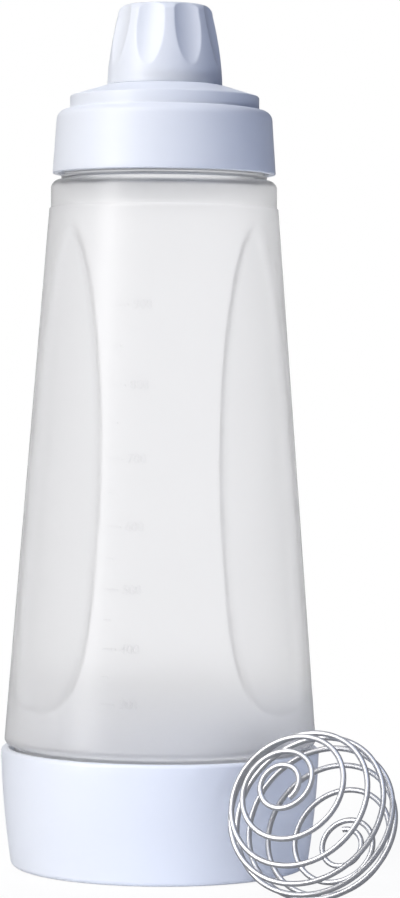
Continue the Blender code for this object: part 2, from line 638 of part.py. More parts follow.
def main():
    """Build the bottle and everything that belongs to it."""
    clear_scene()
    parts = new_collection("batter_shaker_bottle")
    cutters = new_collection("cutters")
    axis = bpy.data.objects.new("bottle_axis", None)
    parts.objects.link(axis)
    pieces = [
        make_base_cup(parts),
        make_base_seal(parts),
        make_bottle_body(parts, cutters),
        make_lid_gasket(parts),
        make_lid_collar(parts),
        make_spout_valve(parts),
        make_valve_retainer(parts),
        make_spout_cap(parts, cutters),
        make_cap_liner(parts),
        make_whisk_ball(parts),
    ]
    for piece in pieces:
        piece.parent = axis


main()
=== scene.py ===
# %% [markdown]
# Batter shaker bottle.
# This lesson dresses a batter shaker bottle: a frosted conical bottle in a glossy base cup,
# with a screw-on lid, a fluted spout cap and a wire whisk ball on the floor beside it.
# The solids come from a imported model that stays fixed. We build finer pieces in the same
# places, let them ride on the same bodies, and give every surface a material made of nodes.

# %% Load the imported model
import math

import bpy
from mathutils import Matrix, Vector


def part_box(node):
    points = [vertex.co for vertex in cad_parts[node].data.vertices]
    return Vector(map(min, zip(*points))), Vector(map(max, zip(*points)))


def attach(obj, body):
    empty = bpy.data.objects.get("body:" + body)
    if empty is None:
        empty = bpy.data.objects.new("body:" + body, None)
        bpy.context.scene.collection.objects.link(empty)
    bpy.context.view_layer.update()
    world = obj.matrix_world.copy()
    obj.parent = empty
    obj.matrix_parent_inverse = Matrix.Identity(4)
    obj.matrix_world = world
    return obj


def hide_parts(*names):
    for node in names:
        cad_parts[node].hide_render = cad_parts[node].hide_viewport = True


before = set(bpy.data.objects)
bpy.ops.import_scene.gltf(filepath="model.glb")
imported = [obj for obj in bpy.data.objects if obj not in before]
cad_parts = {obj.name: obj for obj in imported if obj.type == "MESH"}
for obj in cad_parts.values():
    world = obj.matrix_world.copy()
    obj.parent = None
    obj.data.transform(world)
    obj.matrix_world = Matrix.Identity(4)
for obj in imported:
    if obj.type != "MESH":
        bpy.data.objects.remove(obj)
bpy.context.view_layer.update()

MM = 0.001
print("nodes:", sorted(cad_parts))

# %% [markdown]
# The camera comes first, because everything after it is judged through it.
# The photograph was taken from about a metre away, from a little above the middle of the
# bottle, with a long lens, so the cone keeps nearly straight sides and the round edges show
# only flat arcs. The picture leans by less than half a degree, and so does our camera.

# %% Make the camera
CAMERA_PLACE = Vector((11.6, -994.0, 152.0)) * MM
CAMERA_PITCH = math.radians(1.389)
CAMERA_ROLL = math.radians(0.43)
PHOTO_HEIGHT = 898
FOCAL_PIXELS = 3239.0
SENSOR_SIZE = 36.0

camera_data = bpy.data.cameras.new("camera")
camera_data.sensor_width = SENSOR_SIZE
camera_data.lens = SENSOR_SIZE * FOCAL_PIXELS / PHOTO_HEIGHT
camera_data.clip_start = 0.05
camera_data.clip_end = 20.0
camera = bpy.data.objects.new("camera", camera_data)
upright = Matrix.Rotation(math.pi / 2 - CAMERA_PITCH, 4, "X")
camera.matrix_world = Matrix.Translation(CAMERA_PLACE) @ upright @ Matrix.Rotation(CAMERA_ROLL, 4, "Z")
bpy.context.scene.collection.objects.link(camera)
bpy.context.scene.camera = camera
print(f"lens {camera_data.lens:.1f} mm at {CAMERA_PLACE.length:.3f} m from the bottle's foot")

# %% [markdown]
# Two small helpers carry the whole script.
# The first adds a node to any tree, in a material or in Geometry Nodes: its inputs are given
# in order or by name, and each may be a plain value, a socket or another node.
# The second turns a web colour, which is written for the eye, into the linear light that
# shaders count in.

# %% Helpers for nodes and colours
MATH = "ShaderNodeMath"
VECTOR_MATH = "ShaderNodeVectorMath"


def add(tree, kind, *values, inputs=None, **settings):
    """Add a node, set its properties, and set or link its inputs."""
    node = tree.nodes.new(kind)
    for name, value in settings.items():
        setattr(node, name, value)
    for key, value in [*enumerate(values), *(inputs or {}).items()]:
        if value is None:
            continue
        source = value.outputs[0] if isinstance(value, bpy.types.Node) else value
        if isinstance(source, bpy.types.NodeSocket):
            tree.links.new(source, node.inputs[key])
        else:
            node.inputs[key].default_value = source
    return node


def linear(colour):
    """An sRGB colour such as "EEF1FA" as linear red, green, blue and alpha."""
    parts = [int(colour[index:index + 2], 16) / 255 for index in (0, 2, 4)]
    light = [part / 12.92 if part <= 0.04045 else ((part + 0.055) / 1.055) ** 2.4 for part in parts]
    return (*light, 1.0)


print("pale blue in linear light:", [round(part, 3) for part in linear("E9EEF9")])

# %% [markdown]
# Every material here starts and ends in the same way.
# Blender gives a new material one Principled shader. Noises then steer its colour and its
# roughness. A noise seldom leaves the range from 0.3 to 0.7, so that range is spread over
# the roughness that we want.

# %% Helpers for materials
NOISE_LOW = 0.3
NOISE_HIGH = 0.7


def new_paint(name):
    """A new material, with its tree and its Principled shader."""
    material = bpy.data.materials.new(name)
    material.use_nodes = True
    return material, material.node_tree, material.node_tree.nodes["Principled BSDF"]


def wire_up(tree, shader, colour, roughness, normal=None):
    """Link what steers a shader: its colour, its roughness and its normal."""
    tree.links.new(colour, shader.inputs["Base Color"])
    tree.links.new(roughness, shader.inputs["Roughness"])
    if normal:
        tree.links.new(normal, shader.inputs["Normal"])


print("a noise is read from", NOISE_LOW, "to", NOISE_HIGH)

# %% [markdown]
# Moulded polypropylene.
# The base cup, the lid and the spout cap are injection moulded in one pale blue-white
# plastic. Polished steel moulds leave it glossy, but the skin is never a mirror: it holds a
# very fine grain, and the colour drifts a little where the melt flowed. So the roughness and
# a small bump follow noises of a real size, and the colour moves only by a hair.

# %% Make the moulded plastic
GRAIN_SIZE = 0.9 * MM
FLOW_SIZE = 24.0 * MM


def moulded_plastic(name, shade, light_shade, rough, spread):
    """Glossy moulded plastic with a fine grain and a slow drift of its colour."""
    material, tree, shader = new_paint(name)
    place = add(tree, "ShaderNodeTexCoord").outputs["Object"]
    flow = add(tree, "ShaderNodeTexNoise", inputs={
        "Vector": place, "Scale": 1 / FLOW_SIZE, "Detail": 2.0, "Roughness": 0.5})
    grain = add(tree, "ShaderNodeTexNoise", inputs={
        "Vector": place, "Scale": 1 / GRAIN_SIZE, "Detail": 3.0, "Roughness": 0.6})
    tint = add(tree, "ShaderNodeMix", data_type="RGBA", inputs={
        "Factor": flow, "A": linear(shade), "B": linear(light_shade)})
    dull = add(tree, "ShaderNodeMapRange", flow, inputs={
        "From Min": NOISE_LOW, "From Max": NOISE_HIGH,
        "To Min": rough - spread, "To Max": rough + spread})
    bump = add(tree, "ShaderNodeBump", inputs={"Strength": 0.12, "Distance": 0.02 * MM, "Height": grain})
    wire_up(tree, shader, tint.outputs["Result"], dull.outputs["Result"], bump.outputs["Normal"])
    shader.inputs["IOR"].default_value = 1.49
    shader.inputs["Specular IOR Level"].default_value = 0.33
    return material


PALE_BLUE = ("E9EDF5", "ECF0F7")
cup_plastic = moulded_plastic("pale_blue_polypropylene_cup", *PALE_BLUE, rough=0.34, spread=0.03)
lid_plastic = moulded_plastic("pale_blue_polypropylene_lid", *PALE_BLUE, rough=0.42, spread=0.03)
cap_plastic = moulded_plastic("pale_blue_polypropylene_cap", *PALE_BLUE, rough=0.42, spread=0.03)
ring_plastic = moulded_plastic(
    "satin_polypropylene_ring", "E0E7F4", "E5EBF7", rough=0.50, spread=0.04)
print("moulded plastics:", cup_plastic.name, lid_plastic.name, cap_plastic.name, ring_plastic.name)

# %% [markdown]
# Frosted polyethylene.
# The squeeze bottle is blow moulded in milky low-density polyethylene. Its wall lets light
# through but spreads it, so what stands behind shows only as a soft shade. Rough glass does
# that: nearly all of the light passes through it, at an IOR well under the plastic's own 1.51,
# because a thin milky wall mirrors less of the room than clear glass does. The wall is
# thicker at the foot, where a share of the light is scattered back as from a milky body. A
# thin satin coat gives the soft highlight down the side. The blown skin has slow waves a
# centimetre or two long, and a frosting too fine to show, drawn at 0.8 mm so that it does.

# %% Make the frosted plastic
FROST_SIZE = 0.8 * MM
WAVE_SIZE = 18.0 * MM
FOOT_PASSES = 0.66
FOOT_START = 43.0 * MM
FOOT_END = 60.0 * MM


def frosted_plastic(name, shade, light_shade, passes):
    """Milky plastic that passes a share of the light as rough glass does."""
    material, tree, shader = new_paint(name)
    place = add(tree, "ShaderNodeTexCoord").outputs["Object"]
    waves = add(tree, "ShaderNodeTexNoise", inputs={
        "Vector": place, "Scale": 1 / WAVE_SIZE, "Detail": 1.0, "Roughness": 0.4})
    frost = add(tree, "ShaderNodeTexNoise", inputs={
        "Vector": place, "Scale": 1 / FROST_SIZE, "Detail": 2.0, "Roughness": 0.6})
    tint = add(tree, "ShaderNodeMix", data_type="RGBA", inputs={
        "Factor": waves, "A": linear(shade), "B": linear(light_shade)})
    dull = add(tree, "ShaderNodeMapRange", waves, inputs={
        "From Min": NOISE_LOW, "From Max": NOISE_HIGH, "To Min": 0.36, "To Max": 0.42})
    soft = add(tree, "ShaderNodeBump", inputs={"Strength": 0.10, "Distance": 0.4 * MM, "Height": waves})
    fine = add(tree, "ShaderNodeBump", inputs={
        "Strength": 0.15, "Distance": 0.02 * MM, "Height": frost, "Normal": soft})
    wire_up(tree, shader, tint.outputs["Result"], dull.outputs["Result"], fine.outputs["Normal"])
    shader.inputs["IOR"].default_value = 1.22
    shader.inputs["Specular IOR Level"].default_value = 1.0
    shader.inputs["Coat Weight"].default_value = 0.25
    shader.inputs["Coat Roughness"].default_value = 0.3
    height = add(tree, "ShaderNodeSeparateXYZ", place).outputs["Z"]
    clear = add(tree, "ShaderNodeMapRange", height, inputs={
        "From Min": FOOT_START, "From Max": FOOT_END, "To Min": FOOT_PASSES, "To Max": passes})
    tree.links.new(clear.outputs["Result"], shader.inputs["Transmission Weight"])
    return material


frosted = frosted_plastic("frosted_polyethylene", "F8F8F9", "FAFAFB", passes=0.985)
print("frosted plastic:", frosted.name)

# %% [markdown]
# Silicone rubber.
# The seals, the liner and the pouring nozzle are moulded in soft silicone. It is smooth but
# never shiny, and a thin bloom makes its colour slightly uneven.

# %% Make the silicone
BLOOM_SIZE = 3.0 * MM
BLOOM_SPREAD = 0.06


def silicone(name, shade, light_shade, rough):
    """Satin silicone with a faint bloom."""
    material, tree, shader = new_paint(name)
    place = add(tree, "ShaderNodeTexCoord").outputs["Object"]
    bloom = add(tree, "ShaderNodeTexNoise", inputs={
        "Vector": place, "Scale": 1 / BLOOM_SIZE, "Detail": 3.0, "Roughness": 0.5})
    tint = add(tree, "ShaderNodeMix", data_type="RGBA", inputs={
        "Factor": bloom, "A": linear(shade), "B": linear(light_shade)})
    dull = add(tree, "ShaderNodeMapRange", bloom, inputs={
        "From Min": NOISE_LOW, "From Max": NOISE_HIGH,
        "To Min": rough - BLOOM_SPREAD, "To Max": rough + BLOOM_SPREAD})
    bump = add(tree, "ShaderNodeBump", inputs={"Strength": 0.1, "Distance": 0.02 * MM, "Height": bloom})
    wire_up(tree, shader, tint.outputs["Result"], dull.outputs["Result"], bump.outputs["Normal"])
    shader.inputs["IOR"].default_value = 1.41
    shader.inputs["Subsurface Weight"].default_value = 0.15
    shader.inputs["Subsurface Radius"].default_value = (1.0, 1.0, 1.0)
    shader.inputs["Subsurface Scale"].default_value = 1.5 * MM
    return material


seal_silicone = silicone("satin_silicone_seal", "C9CFDA", "D4D9E2", rough=0.55)
nozzle_silicone = silicone("milky_silicone_nozzle", "DCE2EA", "E6EBF1", rough=0.45)
print("silicones:", seal_silicone.name, nozzle_silicone.name)

# %% [markdown]
# Bright drawn stainless wire.
# The die that drew the wire left fine lines along it, so its roughness changes quickly
# round the wire and slowly along it. The pattern reads an attribute that the wire's own
# Geometry Nodes store: the distance along it, and the angle round it. The wire is satin, not
# polished, and a small share of plain scattering softens it as its fine scratches do. The
# grey edge tint is what steel shows at a glancing angle.

# %% Make the steel
DRAW_LINE_LENGTH = 14.0 * MM
DRAW_LINES_ROUND = 9.0


def drawn_steel(name, shade, light_shade):
    """Bright steel with fine lines along the wire."""
    material, tree, shader = new_paint(name)
    place = add(tree, "ShaderNodeAttribute", attribute_name="wire_place").outputs["Vector"]
    stretch = add(tree, "ShaderNodeMapping", place, inputs={
        "Scale": (1 / DRAW_LINE_LENGTH, DRAW_LINES_ROUND, 1.0)})
    lines = add(tree, "ShaderNodeTexNoise", inputs={
        "Vector": stretch, "Scale": 1.0, "Detail": 3.0, "Roughness": 0.6})
    tint = add(tree, "ShaderNodeMix", data_type="RGBA", inputs={
        "Factor": lines, "A": linear(shade), "B": linear(light_shade)})
    dull = add(tree, "ShaderNodeMapRange", lines, inputs={
        "From Min": NOISE_LOW, "From Max": NOISE_HIGH, "To Min": 0.36, "To Max": 0.46})
    wire_up(tree, shader, tint.outputs["Result"], dull.outputs["Result"])
    shader.inputs["Metallic"].default_value = 0.85
    shader.inputs["Specular Tint"].default_value = linear("B6B8BD")
    return material


steel = drawn_steel("bright_stainless_wire", "C2C3C7", "D6D7DA")
print("metal:", steel.name)

# %% [markdown]
# Turned forms.
# Every shell here is round, so each starts as an outline of radius and height that is
# spun about the bottle's axis. Blender's Screw modifier does that too, but writing the
# rings ourselves gives clean rows of quads, which the next steps push in and out.
# The outline runs down the outer side and, on a closed shell, back up the inner side.

# %% Helpers for turned forms
def arc(radius, height, size, start, end, steps=8):
    """Points on an arc of an outline, in millimetres and degrees, 0 outward and 90 up."""
    points = []
    for index in range(steps + 1):
        angle = math.radians(start + (end - start) * index / steps)
        points.append((radius + size * math.cos(angle), height + size * math.sin(angle)))
    return points


def rows(start, end, count):
    """Points on a straight run of an outline, without its first point."""
    return [
        (start[0] + (end[0] - start[0]) * index / count, start[1] + (end[1] - start[1]) * index / count)
        for index in range(1, count + 1)]


def turned(name, outline, segments, closed):
    """A mesh object spun from an outline in millimetres; radius 0 makes a pole."""
    vertices, rings, faces = [], [], []
    for radius, height in outline:
        ring_size = segments if radius > 0 else 1
        rings.append([len(vertices) + index for index in range(ring_size)])
        for index in range(ring_size):
            angle = math.tau * index / segments
            vertices.append((radius * MM * math.cos(angle), radius * MM * math.sin(angle), height * MM))
    pairs = list(zip(rings, rings[1:] + rings[:1])) if closed else list(zip(rings, rings[1:]))
    for upper, lower in pairs:
        for index in range(segments):
            following = (index + 1) % segments
            corners = [
                upper[index % len(upper)], lower[index % len(lower)],
                lower[following % len(lower)], upper[following % len(upper)]]
            corners = list(dict.fromkeys(corners))
            if len(corners) > 2:
                faces.append(corners)
    mesh = bpy.data.meshes.new(name)
    mesh.from_pydata(vertices, [], faces)
    mesh.update()
    piece = bpy.data.objects.new(name, mesh)
    bpy.context.scene.collection.objects.link(piece)
    return piece


SHARP_EDGE = math.radians(38)


def finish_piece(piece, material, body, stands_for=()):
    """Shade a piece, give it its material and let it ride on its body."""
    mesh = piece.data
    mesh.materials.clear()
    mesh.materials.append(material)
    mesh.shade_smooth()
    mesh.set_sharp_from_angle(angle=SHARP_EDGE)
    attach(piece, body)
    if stands_for:
        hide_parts(*stands_for)
    triangles = sum(len(polygon.vertices) - 2 for polygon in mesh.polygons)
    print(f"{piece.name}: {triangles} triangles on {body}")


print(f"an edge of more than {math.degrees(SHARP_EDGE):.0f} degrees stays sharp")

# %% [markdown]
# Geometry Nodes.
# A tree is a recipe: it takes named sizes, and gives back a shape. We make each tree once
# and feed it by its sockets' identifiers, which never change, while names could clash.
# Then the result is turned into a plain mesh, so nothing is left to evaluate later.

# %% Helpers for Geometry Nodes
def new_recipe(name, sizes):
    """A Geometry Nodes tree with a named input for each size, its input and its output."""
    tree = bpy.data.node_groups.new(name, "GeometryNodeTree")
    tree.interface.new_socket("Geometry", in_out="OUTPUT", socket_type="NodeSocketGeometry")
    tree.interface.new_socket("Geometry", in_out="INPUT", socket_type="NodeSocketGeometry")
    for label, kind in sizes.items():
        tree.interface.new_socket(label, in_out="INPUT", socket_type="NodeSocket" + kind)
    return tree, tree.nodes.new("NodeGroupInput").outputs, tree.nodes.new("NodeGroupOutput")


def end_recipe(tree, shape, size, result):
    """Make a recipe's shape real, give it the material input and send it out."""
    real = add(tree, "GeometryNodeRealizeInstances", shape)
    painted = add(tree, "GeometryNodeSetMaterial", inputs={"Geometry": real, "Material": size["Material"]})
    tree.links.new(painted.outputs[0], result.inputs[0])
    return tree


def follow_recipe(tree, piece, sizes):
    """Run a tree on a piece with these sizes and keep the result as a plain mesh."""
    modifier = piece.modifiers.new(tree.name, "NODES")
    modifier.node_group = tree
    for item in tree.interface.items_tree:
        if item.in_out == "INPUT" and item.name in sizes:
            modifier[item.identifier] = sizes[item.name]
    bpy.context.view_layer.update()
    graph = bpy.context.evaluated_depsgraph_get()
    mesh = bpy.data.meshes.new_from_object(piece.evaluated_get(graph))
    piece.modifiers.clear()
    piece.data = mesh
    mesh.name = piece.name
    return piece


def blank(name):
    """An object with an empty mesh, for a recipe that makes its own shape."""
    piece = bpy.data.objects.new(name, bpy.data.meshes.new(name))
    bpy.context.scene.collection.objects.link(piece)
    return piece


print("recipes run in Blender", bpy.app.version_string)

# %% [markdown]
# Sizes from the frame.
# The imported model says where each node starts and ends. We read those boxes instead of
# writing the numbers again, and work on in millimetres. Walls, rounds and fillets that a
# box can't tell are named here.

# %% Read the sizes
def span(node):
    """A node's outer radius, lowest and highest point in millimetres."""
    low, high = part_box(node)
    return high.x / MM, low.z / MM, high.z / MM


cup_rim, _, cup_top = span("base_cup")
body_rim, lower_rim, upper_rim = span("bottle_body")
lid_rim, lid_bottom, spout_top = span("lid_collar")
cap_rim, cap_bottom, cap_top = span("spout_cap")
gasket_top = span("lid_gasket")[2]
seal_bottom = span("base_seal")[1]
retainer_bottom = span("valve_retainer")[1]
print(f"cup {cup_rim:.2f} by {cup_top:.2f}")
print(f"bottle {body_rim:.2f} from {lower_rim:.2f} to {upper_rim:.2f}")
print(f"lid {lid_rim:.2f} from {lid_bottom:.2f}")
print(f"cap {cap_rim:.2f} from {cap_bottom:.2f} to {cap_top:.2f}")

SEAT_GAP = 0.3
THREAD_ROOM = 1.5
CORNER_ROUND = 0.3
RIM_ROUND = 0.4
SMALL_BEVEL = 0.1
CRISP_ROW = 0.05    # a row this near to a corner keeps it crisp

# %% [markdown]
# The base cup.
# It is a shallow bowl with a ledge for the seal, an upright threaded wall above it and a
# foot ring below. Its side is drawn in towards the foot along a gentle curve, so the mould
# lets it go and the light slides down it.

# %% Turn the base cup
CUP_WALL = 2.6
CUP_FLARE = 3.3
CUP_FLARE_POWER = 1.7
CUP_RIM_ROUND = 1.2
CUP_LIP_ROUND = 0.5
CUP_EDGE_ROUND = 1.8
CUP_CORNER_ROUND = 5.0
CUP_SEAT_WIDTH = 2.2
FOOT_RING_WIDTH = 4.0
FOOT_LAND_RADIUS = 14.0
FOOT_RECESS_DEPTH = 0.8
FOOT_BEVEL = 0.2
GATE_RADIUS = 1.6
GATE_FLOOR_RADIUS = 0.6
GATE_DEPTH = 0.3
CUP_FLOOR = 2.6
CUP_SEGMENTS = 224
CUP_ROWS = 24

cup_seat = seal_bottom - SEAT_GAP
cup_bore = cup_rim - CUP_WALL
cup_seat_bore = cup_bore - CUP_SEAT_WIDTH


def cup_radius(height):
    """The cup's outer radius at a height."""
    return cup_rim - CUP_FLARE * ((cup_top - height) / cup_top) ** CUP_FLARE_POWER


def cup_outline():
    """The cup's outline from the middle of its floor, over the rim, to under its foot."""
    floor_top = FOOT_RECESS_DEPTH + CUP_FLOOR
    corner = cup_seat_bore - CUP_CORNER_ROUND
    corner_top = floor_top + CUP_CORNER_ROUND
    points = [(0.0, floor_top), *rows((0.0, floor_top), (corner, floor_top), 8)[:-1]]
    points += arc(corner, corner_top, CUP_CORNER_ROUND, -90, 0, 10)
    points += rows((cup_seat_bore, corner_top), (cup_seat_bore, cup_seat - CORNER_ROUND), 4)
    points += arc(cup_seat_bore + CORNER_ROUND, cup_seat - CORNER_ROUND, CORNER_ROUND, 180, 90, 3)
    points += [(cup_bore, cup_seat), (cup_bore, cup_seat + CRISP_ROW)]
    points += rows((cup_bore, cup_seat + CRISP_ROW), (cup_bore, cup_top - CUP_LIP_ROUND), 6)
    points += arc(cup_bore + CUP_LIP_ROUND, cup_top - CUP_LIP_ROUND, CUP_LIP_ROUND, 180, 90, 4)
    points += arc(cup_rim - CUP_RIM_ROUND, cup_top - CUP_RIM_ROUND, CUP_RIM_ROUND, 90, 0, 8)
    side = cup_top - CUP_RIM_ROUND
    for index in range(1, CUP_ROWS + 1):
        height = side + (CUP_EDGE_ROUND - side) * index / CUP_ROWS
        points.append((cup_radius(height), height))
    foot = cup_radius(CUP_EDGE_ROUND) - CUP_EDGE_ROUND
    points += arc(foot, CUP_EDGE_ROUND, CUP_EDGE_ROUND, 0, -90, 8)[1:]
    ring_bore = foot - FOOT_RING_WIDTH
    recess_start = (ring_bore - FOOT_BEVEL, FOOT_RECESS_DEPTH)
    recess_end = (FOOT_LAND_RADIUS + CORNER_ROUND, FOOT_RECESS_DEPTH)
    points += [(ring_bore + FOOT_BEVEL, 0.0), (ring_bore, FOOT_BEVEL), recess_start]
    points += rows(recess_start, recess_end, 5)
    points += [(FOOT_LAND_RADIUS, FOOT_BEVEL), (FOOT_LAND_RADIUS - FOOT_BEVEL, 0.0)]
    points += [(FOOT_LAND_RADIUS / 2, 0.0), (GATE_RADIUS, 0.0)]
    points += [(GATE_RADIUS - GATE_DEPTH, GATE_DEPTH - CRISP_ROW)]
    points += [(GATE_FLOOR_RADIUS, GATE_DEPTH), (0.0, GATE_DEPTH)]
    return points


cup = turned("cup_shell", cup_outline(), CUP_SEGMENTS, False)
finish_piece(cup, cup_plastic, "base", ["base_cup"])

# %% [markdown]
# The bottle.
# The shell is a cone between two necks, open at both ends. Its rows of quads lie close
# together where the grip recesses start and end, and wider apart between, so that the
# detail goes where it shows. The wall is one closed outline: down the outside, up the inside.

# %% Turn the bottle
BODY_GROOVE = 0.85
BODY_TOP_RADIUS = 35.05
BODY_HEIGHT = 164.4
BODY_WALL = 1.9
BODY_EDGE_ROUND = 1.9
BODY_INNER_BEVEL = 0.5
SHOULDER_STEP = 0.45
STEP_FILLET = 0.15
STEP_ROUND = 0.45
STEP_ROUND_CUT = (0.12, 0.2)    # how far in and down the middle of that round lies
SHOULDER_HEIGHT = 8.4
SHOULDER_ROUND = 2.6
NECK_SETBACK = 4.0
NECK_WALL = 2.0
FLANGE_REACH = 0.9
FLANGE_HEIGHT = 0.9
FLANGE_LIFT = 0.5
FLANGE_ROUND = 0.25
FINE_ROWS_ABOVE = 150.0
FINE_ROWS_BELOW = 66.0
BODY_SEGMENTS = 300

body_bottom = cup_top + BODY_GROOVE
body_top = body_bottom + BODY_HEIGHT
shoulder_top = body_top + SHOULDER_HEIGHT
lower_neck = cup_bore - THREAD_ROOM
shoulder = BODY_TOP_RADIUS - SHOULDER_STEP
neck = shoulder - NECK_SETBACK


def cone(height, depth=0.0):
    """A point of the cone's outside, or of a surface that lies deeper in its wall."""
    share = (height - body_bottom) / BODY_HEIGHT
    return (body_rim + (BODY_TOP_RADIUS - body_rim) * share - depth, height)


def cone_rows(heights, depth):
    """Rows of the cone through (height, spacing) pairs: a spacing holds up to the next height."""
    points = []
    for (start, spacing), (end, _) in zip(heights, heights[1:]):
        count = max(1, round(abs(end - start) / spacing))
        points += rows(cone(start, depth), cone(end, depth), count)
    return points


def bottle_outline():
    """The shell's outline: down its outside and up its inside."""
    flange_bottom = shoulder_top + FLANGE_LIFT
    flange_top = flange_bottom + FLANGE_HEIGHT
    flange = neck + FLANGE_REACH
    low = body_bottom + BODY_EDGE_ROUND
    points = arc(neck - RIM_ROUND, upper_rim - RIM_ROUND, RIM_ROUND, 90, 0, 3)
    points += [(neck, flange_top + SMALL_BEVEL), (neck + SMALL_BEVEL, flange_top)]
    points += arc(flange - FLANGE_ROUND, flange_top - FLANGE_ROUND, FLANGE_ROUND, 90, 0, 3)
    points += arc(flange - FLANGE_ROUND, flange_bottom + FLANGE_ROUND, FLANGE_ROUND, 0, -90, 3)
    points += arc(neck + FLANGE_ROUND, shoulder_top + FLANGE_ROUND, FLANGE_ROUND, 180, 270, 3)
    points += arc(shoulder - SHOULDER_ROUND, shoulder_top - SHOULDER_ROUND, SHOULDER_ROUND, 90, 0, 10)
    points += rows((shoulder, shoulder_top - SHOULDER_ROUND), (shoulder, body_top + STEP_FILLET), 5)
    points += [(shoulder + CRISP_ROW, body_top)]
    points += [(cone(body_top)[0] - STEP_ROUND_CUT[0], body_top - STEP_ROUND_CUT[1])]
    high = body_top - STEP_ROUND
    points += [cone(high)]
    outside = [(high, 0.8), (FINE_ROWS_ABOVE, 1.9), (FINE_ROWS_BELOW, 0.7), (low, 1.0)]
    points += cone_rows(outside, 0.0)
    points += arc(cone(low)[0] - BODY_EDGE_ROUND, low, BODY_EDGE_ROUND, 0, -90, 6)[1:]
    points += arc(lower_neck + CORNER_ROUND, body_bottom - CORNER_ROUND, CORNER_ROUND, 90, 180, 3)
    points += [(lower_neck, lower_rim + RIM_ROUND), (lower_neck - RIM_ROUND, lower_rim)]
    bore = lower_neck - NECK_WALL
    low_inside = body_bottom + BODY_WALL + BODY_INNER_BEVEL
    bevel_top = cone(low_inside, BODY_WALL)
    points += [(bore + RIM_ROUND, lower_rim), (bore, lower_rim + RIM_ROUND)]
    points += [(bore, body_bottom + BODY_WALL - RIM_ROUND), (bore + RIM_ROUND, body_bottom + BODY_WALL)]
    points += [(bevel_top[0] - BODY_INNER_BEVEL, low_inside - BODY_INNER_BEVEL), bevel_top]
    inside_top = body_top - BODY_WALL
    inside = [(low_inside, 1.4), (FINE_ROWS_BELOW, 3.0), (FINE_ROWS_ABOVE, 1.6), (inside_top, 1.0)]
    points += cone_rows(inside, BODY_WALL)
    waist = shoulder - BODY_WALL
    inner_round = shoulder_top - SHOULDER_ROUND
    points += [(waist, body_top), (waist, inner_round - RIM_ROUND)]
    points += arc(shoulder - SHOULDER_ROUND, inner_round, SHOULDER_ROUND - BODY_WALL, 0, 90, 6)
    bore = neck - NECK_WALL
    points += [(bore + RIM_ROUND, shoulder_top - BODY_WALL), (bore, shoulder_top - BODY_WALL + RIM_ROUND)]
    points += [(bore, upper_rim - RIM_ROUND), (bore + RIM_ROUND, upper_rim)]
    return points


bottle = turned("bottle_shell", bottle_outline(), BODY_SEGMENTS, True)
print(f"bottle outline of {len(bottle_outline())} points")

# %% [markdown]
# The grip recesses.
# Two long egg-shaped hollows lie on either side of the front panel, where fingers and
# thumb hold the bottle. Their outline is a superellipse with a squarer lower end. For each
# point of the shell the recipe works out its distance to that outline, then eases the wall
# in: a crisp edge outside, and a wide soft fillet inside. The floor is pushed on towards the
# straight chord between its two edges, so it is flatter than the cone. The inner wall moves
# the same way, so the plastic keeps its thickness.

# %% Make the recess recipe
LEAST_GAUGE = 0.05

tree, size, result = new_recipe("grip_recess", {
    "Centre angle": "Float", "Half width": "Float", "Bottom": "Float", "Belly": "Float",
    "Top": "Float", "Lower power": "Float", "Upper power": "Float", "Depth": "Float",
    "Fillet": "Float", "Flatness": "Float", "Material": "Material"})

position = add(tree, "GeometryNodeInputPosition")
split = add(tree, "ShaderNodeSeparateXYZ", position).outputs
backward = add(tree, MATH, split["Y"], -1.0, operation="MULTIPLY")
angle = add(tree, MATH, split["X"], backward, operation="ARCTAN2")
either_side = add(tree, MATH, angle, operation="ABSOLUTE")
from_centre = add(tree, MATH, either_side, size["Centre angle"], operation="SUBTRACT")
flat = add(tree, "ShaderNodeCombineXYZ", split["X"], split["Y"], 0.0)
radius = add(tree, VECTOR_MATH, flat, operation="LENGTH").outputs["Value"]
across = add(tree, MATH, radius, add(tree, MATH, from_centre, operation="SINE"), operation="MULTIPLY")
height = add(tree, MATH, split["Z"], size["Belly"], operation="SUBTRACT")
above = add(tree, MATH, height, 0.0, operation="GREATER_THAN")
power = add(tree, "ShaderNodeMix", above, None, size["Lower power"], size["Upper power"])
reach_up = add(tree, MATH, size["Top"], size["Belly"], operation="SUBTRACT")
reach_down = add(tree, MATH, size["Belly"], size["Bottom"], operation="SUBTRACT")
reach = add(tree, "ShaderNodeMix", above, None, reach_down, reach_up)
share_x = add(tree, MATH, across, size["Half width"], operation="DIVIDE")
share_x = add(tree, MATH, share_x, operation="ABSOLUTE")
share_y = add(tree, MATH, height, reach, operation="DIVIDE")
share_y = add(tree, MATH, share_y, operation="ABSOLUTE")
raised_x = add(tree, MATH, share_x, power, operation="POWER")
raised_y = add(tree, MATH, share_y, power, operation="POWER")
total = add(tree, MATH, raised_x, raised_y, operation="ADD")
root = add(tree, MATH, 1.0, power, operation="DIVIDE")
gauge = add(tree, MATH, total, root, operation="POWER")
gauge = add(tree, MATH, gauge, LEAST_GAUGE, operation="MAXIMUM")
less = add(tree, MATH, power, 1.0, operation="SUBTRACT")
slope_x = add(tree, MATH, share_x, less, operation="POWER")
slope_x = add(tree, MATH, slope_x, size["Half width"], operation="DIVIDE")
slope_y = add(tree, MATH, share_y, less, operation="POWER")
slope_y = add(tree, MATH, slope_y, reach, operation="DIVIDE")
slope_pair = add(tree, "ShaderNodeCombineXYZ", slope_x, slope_y, 0.0)
slope = add(tree, VECTOR_MATH, slope_pair, operation="LENGTH").outputs["Value"]
slope = add(tree, MATH, slope, add(tree, MATH, gauge, less, operation="POWER"), operation="DIVIDE")
inward = add(tree, MATH, add(tree, MATH, 1.0, gauge, operation="SUBTRACT"), slope, operation="DIVIDE")
eased = add(tree, MATH, inward, size["Fillet"], operation="DIVIDE", use_clamp=True)
